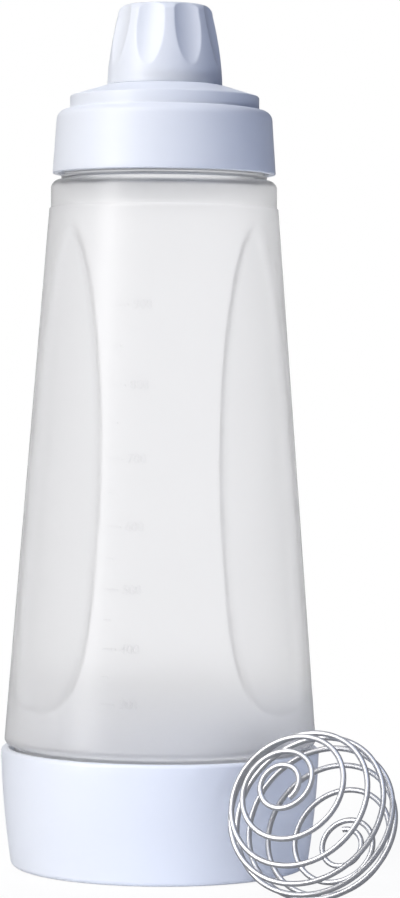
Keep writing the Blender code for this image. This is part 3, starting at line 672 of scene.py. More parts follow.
rest_of_way = add(tree, MATH, 1.0, eased, operation="SUBTRACT")
curve_left = add(tree, MATH, rest_of_way, rest_of_way, operation="MULTIPLY")
curve_in = add(tree, MATH, 1.0, curve_left, operation="SUBTRACT")
step = add(tree, MATH, curve_in, size["Depth"], operation="MULTIPLY")
narrowed = add(tree, MATH, 1.0, raised_y, operation="SUBTRACT", use_clamp=True)
narrowed = add(tree, MATH, narrowed, root, operation="POWER")
half_here = add(tree, MATH, size["Half width"], narrowed, operation="MULTIPLY")
sine_edge = add(tree, MATH, half_here, radius, operation="DIVIDE")
sine_here = add(tree, MATH, across, radius, operation="DIVIDE")
cosine_edge = add(tree, MATH, add(tree, MATH, sine_edge, operation="ARCSINE"), operation="COSINE")
cosine_here = add(tree, MATH, add(tree, MATH, sine_here, operation="ARCSINE"), operation="COSINE")
chord = add(tree, MATH, cosine_edge, cosine_here, operation="DIVIDE")
sag = add(tree, MATH, 1.0, chord, operation="SUBTRACT", use_clamp=True)
sag = add(tree, MATH, sag, radius, operation="MULTIPLY")
sag = add(tree, MATH, sag, size["Flatness"], operation="MULTIPLY")
push = add(tree, MATH, add(tree, MATH, step, sag, operation="ADD"), -1.0, operation="MULTIPLY")
outward = add(tree, VECTOR_MATH, flat, operation="NORMALIZE")
offset = add(tree, VECTOR_MATH, outward, inputs={"Scale": push}, operation="SCALE")
moved = add(tree, "GeometryNodeSetPosition", inputs={"Geometry": size["Geometry"], "Offset": offset})
recess_tree = end_recipe(tree, moved, size, result)
print(f"recess recipe of {len(recess_tree.nodes)} nodes")

# %% [markdown]
# The recesses' sizes.
# The photograph gives the margins to both ends of the cone, the width, and the height of
# the belly, where the egg is widest. The lower power makes its foot squarer, and the upper
# one leaves its top nearly a plain ellipse. The outline is a little wider than the edge
# that shows.

# %% Press the recesses in
RECESS_DEPTH = 1.0
RECESS_FLATNESS = 0.75
RECESS_WIDTH = 37.2
RECESS_LOWER_MARGIN = 12.7
RECESS_UPPER_MARGIN = 6.6
RECESS_BELLY = 50.0
RECESS_ANGLE = 53.3
RECESS_LOWER_POWER = 3.5
RECESS_UPPER_POWER = 1.9
RECESS_FILLET = 4.2
RECESS_EDGE = 0.4

recess_bottom = body_bottom + RECESS_LOWER_MARGIN
follow_recipe(recess_tree, bottle, {
    "Centre angle": math.radians(RECESS_ANGLE), "Half width": (RECESS_WIDTH / 2 + RECESS_EDGE) * MM,
    "Bottom": (recess_bottom - RECESS_EDGE) * MM, "Belly": (recess_bottom + RECESS_BELLY) * MM,
    "Top": (body_top - RECESS_UPPER_MARGIN + RECESS_EDGE) * MM,
    "Lower power": RECESS_LOWER_POWER, "Upper power": RECESS_UPPER_POWER,
    "Depth": RECESS_DEPTH * MM, "Fillet": RECESS_FILLET * MM, "Flatness": RECESS_FLATNESS,
    "Material": frosted})
finish_piece(bottle, frosted, "bottle", ["bottle_body"])

# %% [markdown]
# The lid.
# One moulding does four jobs: a skirt with a thread inside, a step ring and a sloped crown,
# the spout neck, and inside a plug ring and a housing for the nozzle. Its edges are
# rounded, because sharp ones would neither fill the mould nor catch the light.

# %% Turn the lid
LID_DRAFT = 1.1
LID_TOP_WALL = 2.6
LID_TOP_ROUND = 3.3
LID_RING_SETBACK = 4.1
LID_RING_HEIGHT = 4.3
LID_RING_ROUND = 0.7
LID_SLOPE_RISE = 2.6
LID_SLOPE_WALL = 2.4
LID_CAP_SEAT_DEPTH = 0.5
LID_SEAT_INSET = 1.0
LID_SEAT_ROUND = 0.2
LID_SEAT_DROP = 0.02
LID_PLUG_WALL = 1.6
LID_PLUG_DEPTH = 6.0
LID_PLUG_BEVEL = 0.2
SPOUT_WALL = 2.0
CAP_WALL = 2.7
CAP_GAP = 0.35
VALVE_FLANGE_REACH = 3.5
HOUSING_WALL = 2.0
LID_SEGMENTS = 224

lid_bore = neck + THREAD_ROOM
lid_seat = gasket_top + SEAT_GAP
lid_top = lid_seat + LID_TOP_WALL
lid_top_radius = lid_rim - LID_DRAFT
ring_radius = lid_top_radius - LID_RING_SETBACK
ring_top = lid_top + LID_RING_HEIGHT
crown = ring_top + LID_SLOPE_RISE
spout_neck = cap_rim - CAP_WALL - THREAD_ROOM
spout_bore = spout_neck - SPOUT_WALL
housing_bore = spout_bore + VALVE_FLANGE_REACH
valve_seat = crown - LID_SLOPE_WALL


def lid_outline():
    """The lid's closed outline: down its outside, then up and down inside."""
    seat_edge = cap_rim + CAP_GAP
    seat_top = crown + LID_CAP_SEAT_DEPTH
    ring_edge = (ring_radius - LID_RING_ROUND, ring_top)
    points = [(spout_bore, spout_top - CORNER_ROUND), (spout_bore + CORNER_ROUND, spout_top)]
    points += arc(spout_neck - CORNER_ROUND, spout_top - CORNER_ROUND, CORNER_ROUND, 90, 0, 3)
    points += rows((spout_neck, spout_top - CORNER_ROUND), (spout_neck, crown + CORNER_ROUND), 4)
    points += arc(spout_neck + CORNER_ROUND, crown + CORNER_ROUND, CORNER_ROUND, 180, 270, 3)[1:]
    points += [(cap_rim - LID_SEAT_INSET, crown), (seat_edge - SMALL_BEVEL, crown)]
    points += [(seat_edge, crown + SMALL_BEVEL)]
    slope_top = seat_top - LID_SEAT_DROP
    points += arc(seat_edge + LID_SEAT_ROUND, slope_top - LID_SEAT_ROUND, LID_SEAT_ROUND, 180, 80, 4)
    points += rows((seat_edge + LID_SEAT_ROUND + CRISP_ROW, slope_top), ring_edge, 8)
    points += arc(ring_radius - LID_RING_ROUND, ring_top - LID_RING_ROUND, LID_RING_ROUND, 70, 0, 6)
    points += rows((ring_radius, ring_top - LID_RING_ROUND), (ring_radius, lid_top + CORNER_ROUND), 3)
    points += arc(ring_radius + CORNER_ROUND, lid_top + CORNER_ROUND, CORNER_ROUND, 180, 270, 3)[1:]
    top_edge = lid_top_radius - LID_TOP_ROUND
    points += arc(top_edge, lid_top - LID_TOP_ROUND, LID_TOP_ROUND, 90, 2, 12)
    side_top = lid_top - LID_TOP_ROUND - SMALL_BEVEL
    points += rows((lid_top_radius, side_top), (lid_rim, lid_bottom + RIM_ROUND), 10)
    points += arc(lid_rim - RIM_ROUND, lid_bottom + RIM_ROUND, RIM_ROUND, 0, -90, 4)[1:]
    points += [(lid_bore + CORNER_ROUND, lid_bottom), (lid_bore, lid_bottom + CORNER_ROUND)]
    points += rows((lid_bore, lid_bottom + CORNER_ROUND), (lid_bore, lid_seat), 6)
    plug = neck - NECK_WALL - SEAT_GAP
    plug_low = upper_rim - LID_PLUG_DEPTH
    points += [(plug, lid_seat), (plug, plug_low + CORNER_ROUND), (plug - CORNER_ROUND, plug_low)]
    plug_bore = plug - LID_PLUG_WALL
    points += [(plug_bore + LID_PLUG_BEVEL, plug_low), (plug_bore, plug_low + LID_PLUG_BEVEL)]
    points += [(plug_bore, ring_top - LID_SLOPE_WALL)]
    housing = housing_bore + HOUSING_WALL
    points += [(housing, valve_seat - SEAT_GAP), (housing, retainer_bottom - SEAT_GAP)]
    points += [(housing_bore, retainer_bottom - SEAT_GAP), (housing_bore, valve_seat)]
    points += [(spout_bore, valve_seat)]
    return points


lid = turned("lid_shell", lid_outline(), LID_SEGMENTS, True)
finish_piece(lid, lid_plastic, "lid", ["lid_collar"])

# %% [markdown]
# The spout cap.
# A tapered cap with a softly crowned top, deep enough to cover the nozzle. The thread is
# in the wide lower part of its bore, and the upper part narrows to hold the liner.

# %% Turn the cap
CAP_TAPER = 3.5
CAP_TAPER_POWER = 1.7
CAP_TOP_ROUND = 3.0
CAP_CROWN = 0.3
CAP_TOP_WALL = 2.3
CAP_UPPER_WALL = 1.6
CAP_THREAD_DEPTH = 7.0
CAP_CAVITY_START = 18.5
FLUTE_DEPTH = 1.45
CAP_SEGMENTS = 400
CAP_ROWS = 84
CAP_CROWN_ROWS = 12

cap_height = cap_top - cap_bottom
cap_side = cap_height - CAP_CROWN - CAP_TOP_ROUND


def cap_radius(height):
    """The cap's outer radius at a height above its lower edge."""
    share = height / (cap_height - CAP_CROWN - CAP_TOP_ROUND / 2)
    return cap_rim - CAP_TAPER * share ** CAP_TAPER_POWER


def cap_outline():
    """The cap's outline from its crown, down its side and up its bore to the ceiling."""
    edge = cap_radius(cap_side)
    flat_edge = edge - CAP_TOP_ROUND
    points = []
    for index in range(CAP_CROWN_ROWS + 1):
        share = index / CAP_CROWN_ROWS
        points.append((flat_edge * share, cap_top - CAP_CROWN * share ** 2))
    points += arc(flat_edge, cap_bottom + cap_side, CAP_TOP_ROUND, 90, 0, 22)[1:]
    for index in range(1, CAP_ROWS + 1):
        height = cap_side * (1 - index / CAP_ROWS)
        points.append((cap_radius(max(height, CORNER_ROUND)), cap_bottom + max(height, CORNER_ROUND)))
    bore = cap_rim - CAP_WALL
    cavity = edge - FLUTE_DEPTH - CAP_UPPER_WALL
    ceiling = cap_top - CAP_CROWN - CAP_TOP_WALL
    points += [(cap_rim - CORNER_ROUND, cap_bottom), (bore + CORNER_ROUND, cap_bottom)]
    points += [(bore, cap_bottom + CORNER_ROUND)]
    points += [(bore, cap_bottom + CAP_THREAD_DEPTH), (cavity, cap_bottom + CAP_CAVITY_START)]
    points += [(cavity, ceiling), (cavity * 0.5, ceiling), (0.0, ceiling)]
    return points


cap = turned("cap_shell", cap_outline(), CAP_SEGMENTS, False)
print(f"cap outline of {len(cap_outline())} points")

# %% [markdown]
# The flutes.
# Eight flutes give the fingers a hold. Each is the mark that a long slim ellipsoid leaves
# in the cap's side. Instead of cutting eight times, the recipe folds the angle round the
# cap into one eighth, finds where a ray from the axis meets the ellipsoid, and takes the
# smaller of the two radii, with a small round between them.

# %% Make the flute recipe
tree, size, result = new_recipe("flutes", {
    "Count": "Float", "First angle": "Float", "Centre radius": "Float",
    "Centre height": "Float", "Lean": "Float", "Flute radius": "Float", "Stretch": "Float",
    "Edge": "Float", "Material": "Material"})
position = add(tree, "GeometryNodeInputPosition")
split = add(tree, "ShaderNodeSeparateXYZ", position).outputs
backward = add(tree, MATH, split["Y"], -1.0, operation="MULTIPLY")
angle = add(tree, MATH, split["X"], backward, operation="ARCTAN2")
sector = add(tree, MATH, math.tau, size["Count"], operation="DIVIDE")
half = add(tree, MATH, sector, 0.5, operation="MULTIPLY")
shifted = add(tree, MATH, angle, size["First angle"], operation="SUBTRACT")
shifted = add(tree, MATH, shifted, half, operation="ADD")
folded = add(tree, MATH, shifted, sector, operation="FLOORED_MODULO")
folded = add(tree, MATH, folded, half, operation="SUBTRACT")
flat = add(tree, "ShaderNodeCombineXYZ", split["X"], split["Y"], 0.0)
radius = add(tree, VECTOR_MATH, flat, operation="LENGTH").outputs["Value"]
ray_x = add(tree, MATH, folded, operation="COSINE")
ray_y = add(tree, MATH, folded, operation="SINE")
cos_lean = add(tree, MATH, size["Lean"], operation="COSINE")
sin_lean = add(tree, MATH, size["Lean"], operation="SINE")
ray_n = add(tree, MATH, ray_x, cos_lean, operation="MULTIPLY")
ray_a = add(tree, MATH, ray_x, sin_lean, operation="MULTIPLY")
ray_a = add(tree, MATH, ray_a, -1.0, operation="MULTIPLY")
rise = add(tree, MATH, split["Z"], size["Centre height"], operation="SUBTRACT")
start_n = add(tree, MATH, rise, sin_lean, operation="MULTIPLY")
centre_n = add(tree, MATH, size["Centre radius"], cos_lean, operation="MULTIPLY")
start_n = add(tree, MATH, start_n, centre_n, operation="SUBTRACT")
centre_a = add(tree, MATH, size["Centre radius"], sin_lean, operation="MULTIPLY")
start_a = add(tree, MATH, rise, cos_lean, centre_a, operation="MULTIPLY_ADD")
ray_a = add(tree, MATH, ray_a, size["Stretch"], operation="DIVIDE")
start_a = add(tree, MATH, start_a, size["Stretch"], operation="DIVIDE")
ray = add(tree, "ShaderNodeCombineXYZ", ray_n, ray_y, ray_a)
start = add(tree, "ShaderNodeCombineXYZ", start_n, 0.0, start_a)
square = add(tree, VECTOR_MATH, ray, ray, operation="DOT_PRODUCT").outputs["Value"]
middle = add(tree, VECTOR_MATH, ray, start, operation="DOT_PRODUCT").outputs["Value"]
reach = add(tree, VECTOR_MATH, start, start, operation="DOT_PRODUCT").outputs["Value"]
inside = add(tree, MATH, size["Flute radius"], size["Flute radius"], operation="MULTIPLY")
reach = add(tree, MATH, reach, inside, operation="SUBTRACT")
middle_squared = add(tree, MATH, middle, middle, operation="MULTIPLY")
product = add(tree, MATH, square, reach, operation="MULTIPLY")
under = add(tree, MATH, middle_squared, product, operation="SUBTRACT")
root = add(tree, MATH, add(tree, MATH, under, 0.0, operation="MAXIMUM"), operation="SQRT")
cut = add(tree, MATH, middle, root, operation="ADD")
cut = add(tree, MATH, cut, square, operation="DIVIDE")
cut = add(tree, MATH, cut, -1.0, operation="MULTIPLY")
kept = add(tree, MATH, radius, cut, size["Edge"], operation="SMOOTH_MIN")
push = add(tree, MATH, kept, radius, operation="SUBTRACT")
outward = add(tree, VECTOR_MATH, flat, operation="NORMALIZE")
offset = add(tree, VECTOR_MATH, outward, inputs={"Scale": push}, operation="SCALE")
moved = add(tree, "GeometryNodeSetPosition", inputs={"Geometry": size["Geometry"], "Offset": offset})
flute_tree = end_recipe(tree, moved, size, result)
print(f"flute recipe of {len(flute_tree.nodes)} nodes")

# %% [markdown]
# The flutes' sizes.
# Each ellipsoid leans in with the cap's taper, so its mark is deepest high on the side and
# runs out above the lower edge. The edge round is small, because the flutes end crisply.

# %% Press the flutes in
FLUTE_COUNT = 8
FLUTE_RADIUS = 12.0
FLUTE_LENGTH = 68.0
FLUTE_CENTRE = 16.8
FLUTE_LEAN = 12.5
FLUTE_FIRST_ANGLE = -62.0
FLUTE_EDGE = 0.25

lean = math.radians(FLUTE_LEAN)
flute_back = FLUTE_RADIUS - FLUTE_DEPTH
follow_recipe(flute_tree, cap, {
    "Count": float(FLUTE_COUNT), "First angle": math.radians(FLUTE_FIRST_ANGLE),
    "Centre radius": (cap_radius(FLUTE_CENTRE) + flute_back * math.cos(lean)) * MM,
    "Centre height": (cap_bottom + FLUTE_CENTRE + flute_back * math.sin(lean)) * MM,
    "Lean": lean, "Flute radius": FLUTE_RADIUS * MM, "Stretch": FLUTE_LENGTH / 2 / FLUTE_RADIUS,
    "Edge": FLUTE_EDGE * MM, "Material": cap_plastic})
finish_piece(cap, cap_plastic, "cap", ["spout_cap"])

# %% [markdown]
# Screw threads.
# Each of the three joints closes with a coarse thread that rises 6 mm a turn. The male ridge
# stands on a neck, and the female ridge stands in a bore, half a turn's rise away, so the
# two slide past each other as the joint turns. One recipe makes all six: a spiral, thinned
# at both ends, with a rounded outline drawn along it.

# %% Make the thread recipe
THREAD_POINTS = 240
THREAD_SIDES = 12
THREAD_TIP = 0.05

tree, size, result = new_recipe("screw_thread", {
    "Radius": "Float", "Start height": "Float", "Start angle": "Float", "Turns": "Float",
    "Lead": "Float", "Ridge": "Float", "Half height": "Float", "Fade": "Float",
    "Material": "Material"})
line = add(tree, "GeometryNodeCurvePrimitiveLine")
points = add(tree, "GeometryNodeResampleCurve", inputs={"Curve": line, "Count": THREAD_POINTS})
share = add(tree, "GeometryNodeSplineParameter").outputs["Factor"]
turns = add(tree, MATH, share, size["Turns"], operation="MULTIPLY")
spin = add(tree, MATH, turns, math.tau, size["Start angle"], operation="MULTIPLY_ADD")
height = add(tree, MATH, turns, size["Lead"], size["Start height"], operation="MULTIPLY_ADD")
cosine = add(tree, MATH, spin, operation="COSINE")
sine = add(tree, MATH, spin, operation="SINE")
spot_x = add(tree, MATH, size["Radius"], cosine, operation="MULTIPLY")
spot_y = add(tree, MATH, size["Radius"], sine, operation="MULTIPLY")
spot = add(tree, "ShaderNodeCombineXYZ", spot_x, spot_y, height)
helix = add(tree, "GeometryNodeSetPosition", inputs={"Geometry": points, "Position": spot})
helix = add(tree, "GeometryNodeSetCurveNormal", inputs={"Curve": helix}, mode="Z_UP")
to_end = add(tree, MATH, share, add(tree, MATH, 1.0, share, operation="SUBTRACT"), operation="MINIMUM")
thick = add(tree, "ShaderNodeMapRange", to_end, interpolation_type="SMOOTHSTEP", inputs={
    "From Max": size["Fade"], "To Min": THREAD_TIP})
helix = add(tree, "GeometryNodeSetCurveRadius", inputs={"Curve": helix, "Radius": thick})
outline = add(tree, "GeometryNodeCurvePrimitiveCircle", inputs={
    "Resolution": THREAD_SIDES, "Radius": 1.0})
sizes = add(tree, "ShaderNodeCombineXYZ", size["Half height"], size["Ridge"], 1.0)
outline = add(tree, "GeometryNodeTransform", inputs={"Geometry": outline, "Scale": sizes})
ridge = add(tree, "GeometryNodeCurveToMesh", inputs={
    "Curve": helix, "Profile Curve": outline, "Fill Caps": True})
thread_tree = end_recipe(tree, ridge, size, result)
print(f"thread recipe of {len(thread_tree.nodes)} nodes")

# %% [markdown]
# The six ridges.
# They run from three quarters of a turn to a turn and a half, long enough to hold and short
# enough to open fast. Each rides on the body of its own neck or bore and wears that piece's
# plastic. The heights are in millimetres above the floor.

# %% Wind the threads
THREAD_LEAD = 6.0
THREAD_HALF_HEIGHT = 1.0
THREAD_RIDGE = 1.0
THREAD_FADE = 0.06

# name, body, slot, material, radius, start height, start in turns, length in turns
threads = [
    ("bottle_lower_thread", "bottle", "bottle_body", frosted, lower_neck, 22.6, 0.0, 1.45),
    ("cup_thread", "base", "base_cup", cup_plastic, cup_bore, 25.6, 0.0, 1.15),
    ("bottle_upper_thread", "bottle", "bottle_body", frosted, neck, 214.0, 0.0, 1.5),
    ("lid_thread", "lid", "lid_collar", lid_plastic, lid_bore, 217.0, 0.0, 1.15),
    ("spout_thread", "lid", "lid_collar", lid_plastic, spout_neck, 240.7, 0.0, 0.75),
    ("cap_thread", "cap", "spout_cap", cap_plastic, cap_rim - CAP_WALL, 240.4, 0.45, 0.75),
]
for name, body, slot, material, thread_radius, start, angle, turns in threads:
    piece = follow_recipe(thread_tree, blank(name), {
        "Radius": thread_radius * MM, "Start height": start * MM, "Start angle": angle * math.tau,
        "Turns": turns, "Lead": THREAD_LEAD * MM, "Ridge": THREAD_RIDGE * MM,
        "Half height": THREAD_HALF_HEIGHT * MM, "Fade": THREAD_FADE, "Material": material})
    finish_piece(piece, material, body)

# %% [markdown]
# The measuring scale.
# The mould has a plain scale beside the left recess, which the bottle carries as a faint
# relief: a mark for each 50 ml and a number for each 100 ml. One recipe makes a mark flat,
# with its number beside it, gives it a thickness, and bends it onto the cone.

# %% Make the scale recipe
MARK_COLUMNS = 9
WELD_DISTANCE = 0.001

tree, size, result = new_recipe("scale_mark", {
    "Text": "String", "Text size": "Float", "Text start": "Float", "Mark length": "Float",
    "Mark width": "Float", "Angle": "Float", "Height": "Float", "Radius": "Float",
    "Slope": "Float", "Relief": "Float", "Sink": "Float", "Material": "Material"})
letters = add(tree, "GeometryNodeStringToCurves", inputs={
    "String": size["Text"], "Size": size["Text size"]}, align_y="MIDDLE").outputs["Curve Instances"]
letters = add(tree, "GeometryNodeFillCurve", letters)
beside = add(tree, "ShaderNodeCombineXYZ", size["Text start"], 0.0, 0.0)
letters = add(tree, "GeometryNodeTransform", inputs={"Geometry": letters, "Translation": beside})
letters = add(tree, "GeometryNodeRealizeInstances", letters)
mark = add(tree, "GeometryNodeMeshGrid", inputs={
    "Size X": size["Mark length"], "Size Y": size["Mark width"],
    "Vertices X": MARK_COLUMNS, "Vertices Y": 2})
half_mark = add(tree, MATH, size["Mark length"], 0.5, operation="MULTIPLY")
half_way = add(tree, "ShaderNodeCombineXYZ", half_mark, 0.0, 0.0)
mark = add(tree, "GeometryNodeTransform", inputs={"Geometry": mark, "Translation": half_way})
flat_mark = add(tree, "GeometryNodeJoinGeometry")
tree.links.new(letters.outputs[0], flat_mark.inputs[0])
tree.links.new(mark.outputs[0], flat_mark.inputs[0])
raised = add(tree, "GeometryNodeExtrudeMesh", inputs={
    "Mesh": flat_mark, "Offset Scale": size["Relief"], "Individual": False})
under = add(tree, "GeometryNodeFlipFaces", flat_mark)
solid = add(tree, "GeometryNodeJoinGeometry")
tree.links.new(raised.outputs[0], solid.inputs[0])
tree.links.new(under.outputs[0], solid.inputs[0])
closed = add(tree, "GeometryNodeMergeByDistance", inputs={
    "Geometry": solid, "Distance": WELD_DISTANCE * MM})
split = add(tree, "ShaderNodeSeparateXYZ", add(tree, "GeometryNodeInputPosition")).outputs
angle = add(tree, MATH, split["X"], size["Radius"], operation="DIVIDE")
angle = add(tree, MATH, angle, size["Angle"], operation="ADD")
reach = add(tree, MATH, split["Y"], size["Slope"], size["Radius"], operation="MULTIPLY_ADD")
reach = add(tree, MATH, reach, split["Z"], operation="ADD")
reach = add(tree, MATH, reach, size["Sink"], operation="SUBTRACT")
sine = add(tree, MATH, angle, operation="SINE")
cosine = add(tree, MATH, angle, operation="COSINE")
spot_x = add(tree, MATH, reach, sine, operation="MULTIPLY")
spot_y = add(tree, MATH, reach, cosine, operation="MULTIPLY")
spot_y = add(tree, MATH, spot_y, -1.0, operation="MULTIPLY")
spot_z = add(tree, MATH, split["Y"], size["Height"], operation="ADD")
spot = add(tree, "ShaderNodeCombineXYZ", spot_x, spot_y, spot_z)
bent = add(tree, "GeometryNodeSetPosition", inputs={"Geometry": closed, "Position": spot})
scale_tree = end_recipe(tree, bent, size, result)
print(f"scale recipe of {len(scale_tree.nodes)} nodes")

# %% [markdown]
# Where the marks go.
# A mark belongs at the height that its volume fills. So we start with what the cup and the
# lower neck hold, and add up thin slices of the cone's inside until the volume is reached.
# The numbers are plain ones, because the photograph shows them too faintly to read.

# %% Mark the scale
FOOT_VOLUME = 195.0
LEVEL_STEP = 0.1
CUBIC_MM_PER_ML = 1000
SCALE_FIRST = 300
SCALE_LAST = 900
SCALE_STEP = 50
SCALE_NUMBER_STEP = 100
SCALE_ANGLE = -21.5
SCALE_MARK_LENGTH = 4.2
SCALE_MARK_WIDTH = 0.55
SCALE_TEXT_SIZE = 3.9
SCALE_TEXT_GAP = 1.2
SCALE_RELIEF = 0.3
SCALE_SINK = 0.04


def level_of(volume):
    """The height in the cone that a volume in millilitres reaches."""
    filled, height = FOOT_VOLUME, body_bottom
    while filled < volume:
        filled += math.pi * cone(height, BODY_WALL)[0] ** 2 * LEVEL_STEP / CUBIC_MM_PER_ML
        height += LEVEL_STEP
    return height


for volume in range(SCALE_FIRST, SCALE_LAST + 1, SCALE_STEP):
    numbered = volume % SCALE_NUMBER_STEP == 0
    mark_length = SCALE_MARK_LENGTH if numbered else SCALE_MARK_LENGTH / 2
    level = level_of(volume)
    piece = follow_recipe(scale_tree, blank(f"scale_mark_{volume}"), {
        "Text": str(volume) if numbered else "", "Text size": SCALE_TEXT_SIZE * MM,
        "Text start": (SCALE_MARK_LENGTH + SCALE_TEXT_GAP) * MM, "Mark length": mark_length * MM,
        "Mark width": SCALE_MARK_WIDTH * MM, "Angle": math.radians(SCALE_ANGLE), "Height": level * MM,
        "Radius": cone(level)[0] * MM, "Slope": (BODY_TOP_RADIUS - body_rim) / BODY_HEIGHT,
        "Relief": (SCALE_RELIEF + SCALE_SINK) * MM, "Sink": SCALE_SINK * MM, "Material": frosted})
    finish_piece(piece, frosted, "bottle")

# %% [markdown]
# The whisk ball.
# One stainless wire is wound as a ball, from a small eye at one pole, over the equator, to
# the eye at the other. The recipe writes that rule down: the angle from the pole grows in
# nearly even steps and eases into the eye, while the wire goes round and round. The same
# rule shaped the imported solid, so the fine wire lies exactly in it.

# %% Make the wire recipe
tree, size, result = new_recipe("wound_wire", {
    "Points": "Int", "Sides": "Int", "Ball radius": "Float", "Wire radius": "Float",
    "Half turns": "Float", "Step": "Float", "Step growth": "Float", "Eye": "Float",
    "Eye blend": "Float", "Phase": "Float", "Squash": "Float", "Centre": "Vector",
    "Turn": "Vector", "Material": "Material"})
line = add(tree, "GeometryNodeCurvePrimitiveLine")
points = add(tree, "GeometryNodeResampleCurve", inputs={"Curve": line, "Count": size["Points"]})
share = add(tree, "GeometryNodeSplineParameter").outputs["Factor"]
from_middle = add(tree, MATH, share, -2.0, 1.0, operation="MULTIPLY_ADD")
turns = add(tree, MATH, from_middle, size["Half turns"], operation="MULTIPLY")
away = add(tree, MATH, turns, operation="ABSOLUTE")
cubed = add(tree, MATH, away, 3.0, operation="POWER")
stepped = add(tree, MATH, away, size["Step"], operation="MULTIPLY")
even = add(tree, MATH, 90.0, stepped, operation="SUBTRACT")
growth = add(tree, MATH, cubed, size["Step growth"], operation="MULTIPLY")
even = add(tree, MATH, even, growth, operation="SUBTRACT")
beyond = add(tree, MATH, even, size["Eye"], operation="SUBTRACT")
beyond = add(tree, MATH, beyond, size["Eye blend"], operation="DIVIDE")
grown = add(tree, MATH, add(tree, MATH, beyond, operation="EXPONENT"), 1.0, operation="ADD")
eased = add(tree, MATH, grown, math.e, operation="LOGARITHM")
eased = add(tree, MATH, eased, size["Eye blend"], size["Eye"], operation="MULTIPLY_ADD")
far_half = add(tree, MATH, turns, 0.0, operation="LESS_THAN")
other_side = add(tree, MATH, 180.0, eased, operation="SUBTRACT")
pole_angle = add(tree, "ShaderNodeMix", far_half, None, eased, other_side)
pole_angle = add(tree, MATH, pole_angle, operation="RADIANS")
spin = add(tree, MATH, 0.5, turns, operation="SUBTRACT")
spin = add(tree, MATH, spin, math.tau, size["Phase"], operation="MULTIPLY_ADD")
ring = add(tree, MATH, pole_angle, operation="SINE")
cosine = add(tree, MATH, spin, operation="COSINE")
sine = add(tree, MATH, spin, operation="SINE")
spot_x = add(tree, MATH, ring, cosine, operation="MULTIPLY")
spot_y = add(tree, MATH, ring, sine, operation="MULTIPLY")
spot_z = add(tree, MATH, pole_angle, operation="COSINE")
spot_z = add(tree, MATH, spot_z, size["Squash"], operation="MULTIPLY")
spot = add(tree, "ShaderNodeCombineXYZ", spot_x, spot_y, spot_z)
spot = add(tree, VECTOR_MATH, spot, inputs={"Scale": size["Ball radius"]}, operation="SCALE")
wire = add(tree, "GeometryNodeSetPosition", inputs={"Geometry": points, "Position": spot})
along = add(tree, "GeometryNodeSplineParameter").outputs["Length"]
wire = add(tree, "GeometryNodeStoreNamedAttribute", data_type="FLOAT", domain="POINT", inputs={
    "Geometry": wire, "Name": "along", "Value": along})
wire = add(tree, "GeometryNodeTransform", inputs={
    "Geometry": wire, "Translation": size["Centre"], "Rotation": size["Turn"]})
outline = add(tree, "GeometryNodeCurvePrimitiveCircle", inputs={
    "Resolution": size["Sides"], "Radius": size["Wire radius"]})
around = add(tree, "GeometryNodeSplineParameter").outputs["Factor"]
outline = add(tree, "GeometryNodeStoreNamedAttribute", data_type="FLOAT", domain="POINT", inputs={
    "Geometry": outline, "Name": "around", "Value": around})
tube = add(tree, "GeometryNodeCurveToMesh", inputs={
    "Curve": wire, "Profile Curve": outline, "Fill Caps": True})
read_along = add(tree, "GeometryNodeInputNamedAttribute", "along", data_type="FLOAT")
read_around = add(tree, "GeometryNodeInputNamedAttribute", "around", data_type="FLOAT")
place = add(tree, "ShaderNodeCombineXYZ", read_along, read_around, 0.0)
tube = add(tree, "GeometryNodeStoreNamedAttribute", data_type="FLOAT_VECTOR", domain="POINT", inputs={
    "Geometry": tube, "Name": "wire_place", "Value": place})
wire_tree = end_recipe(tree, tube, size, result)
print(f"wire recipe of {len(wire_tree.nodes)} nodes")

# %% [markdown]
# The ball's sizes and place.
# The turns and the eyes were fitted to the photograph, which shows nearly the whole wire.
# The ball lies in front of the cup to the right, and its pole points to the front left and
# up. The last lines let it stand on the lowest point of its wire.

# %% Wind the whisk ball
WIRE_DIAMETER = 1.65
BALL_RADIUS = 23.9
BALL_SQUASH = 0.96
BALL_POLE_TURN = -30.4
BALL_POLE_LIFT = 30.6
WIRE_PHASE = 14.5
WIRE_HALF_TURNS = 4.71
WIRE_STEP = 16.3
WIRE_STEP_GROWTH = 0.246
WIRE_EYE = 13.7
WIRE_EYE_BLEND = 5.5
POINTS_PER_LOOP = 96
WIRE_SIDES = 16
BALL_X = 44.7
BALL_Y = -66.0

turn = math.radians(BALL_POLE_TURN)
lift = math.radians(BALL_POLE_LIFT)
pole = Vector((math.cos(lift) * math.sin(turn), -math.cos(lift) * math.cos(turn), math.sin(lift)))
across = Vector((1.0, 0.0, 0.0))
across = (across - pole * pole.dot(across)).normalized()
ball_axes = Matrix((across, pole.cross(across), pole)).transposed()
ball = follow_recipe(wire_tree, blank("whisk_wire"), {
    "Points": round(2 * WIRE_HALF_TURNS * POINTS_PER_LOOP), "Sides": WIRE_SIDES,
    "Ball radius": BALL_RADIUS * MM, "Wire radius": WIRE_DIAMETER / 2 * MM,
    "Half turns": WIRE_HALF_TURNS, "Step": WIRE_STEP,
    "Step growth": WIRE_STEP_GROWTH, "Eye": WIRE_EYE, "Eye blend": WIRE_EYE_BLEND,
    "Phase": math.radians(WIRE_PHASE), "Squash": BALL_SQUASH, "Centre": (BALL_X * MM, BALL_Y * MM, 0.0),
    "Turn": tuple(ball_axes.to_euler()), "Material": steel})
drop = min(vertex.co.z for vertex in ball.data.vertices)
ball.data.transform(Matrix.Translation((0.0, 0.0, -drop)))
finish_piece(ball, steel, "ball", ["whisk_ball"])
print(f"whisk ball lifted by {-drop / MM:.2f} mm to stand on the floor")

# %% [markdown]
# The inner pieces.
# The seals, the liner, the nozzle and its ring are small turned shapes that the packed
# model already has right, so they stay, and only get their materials.

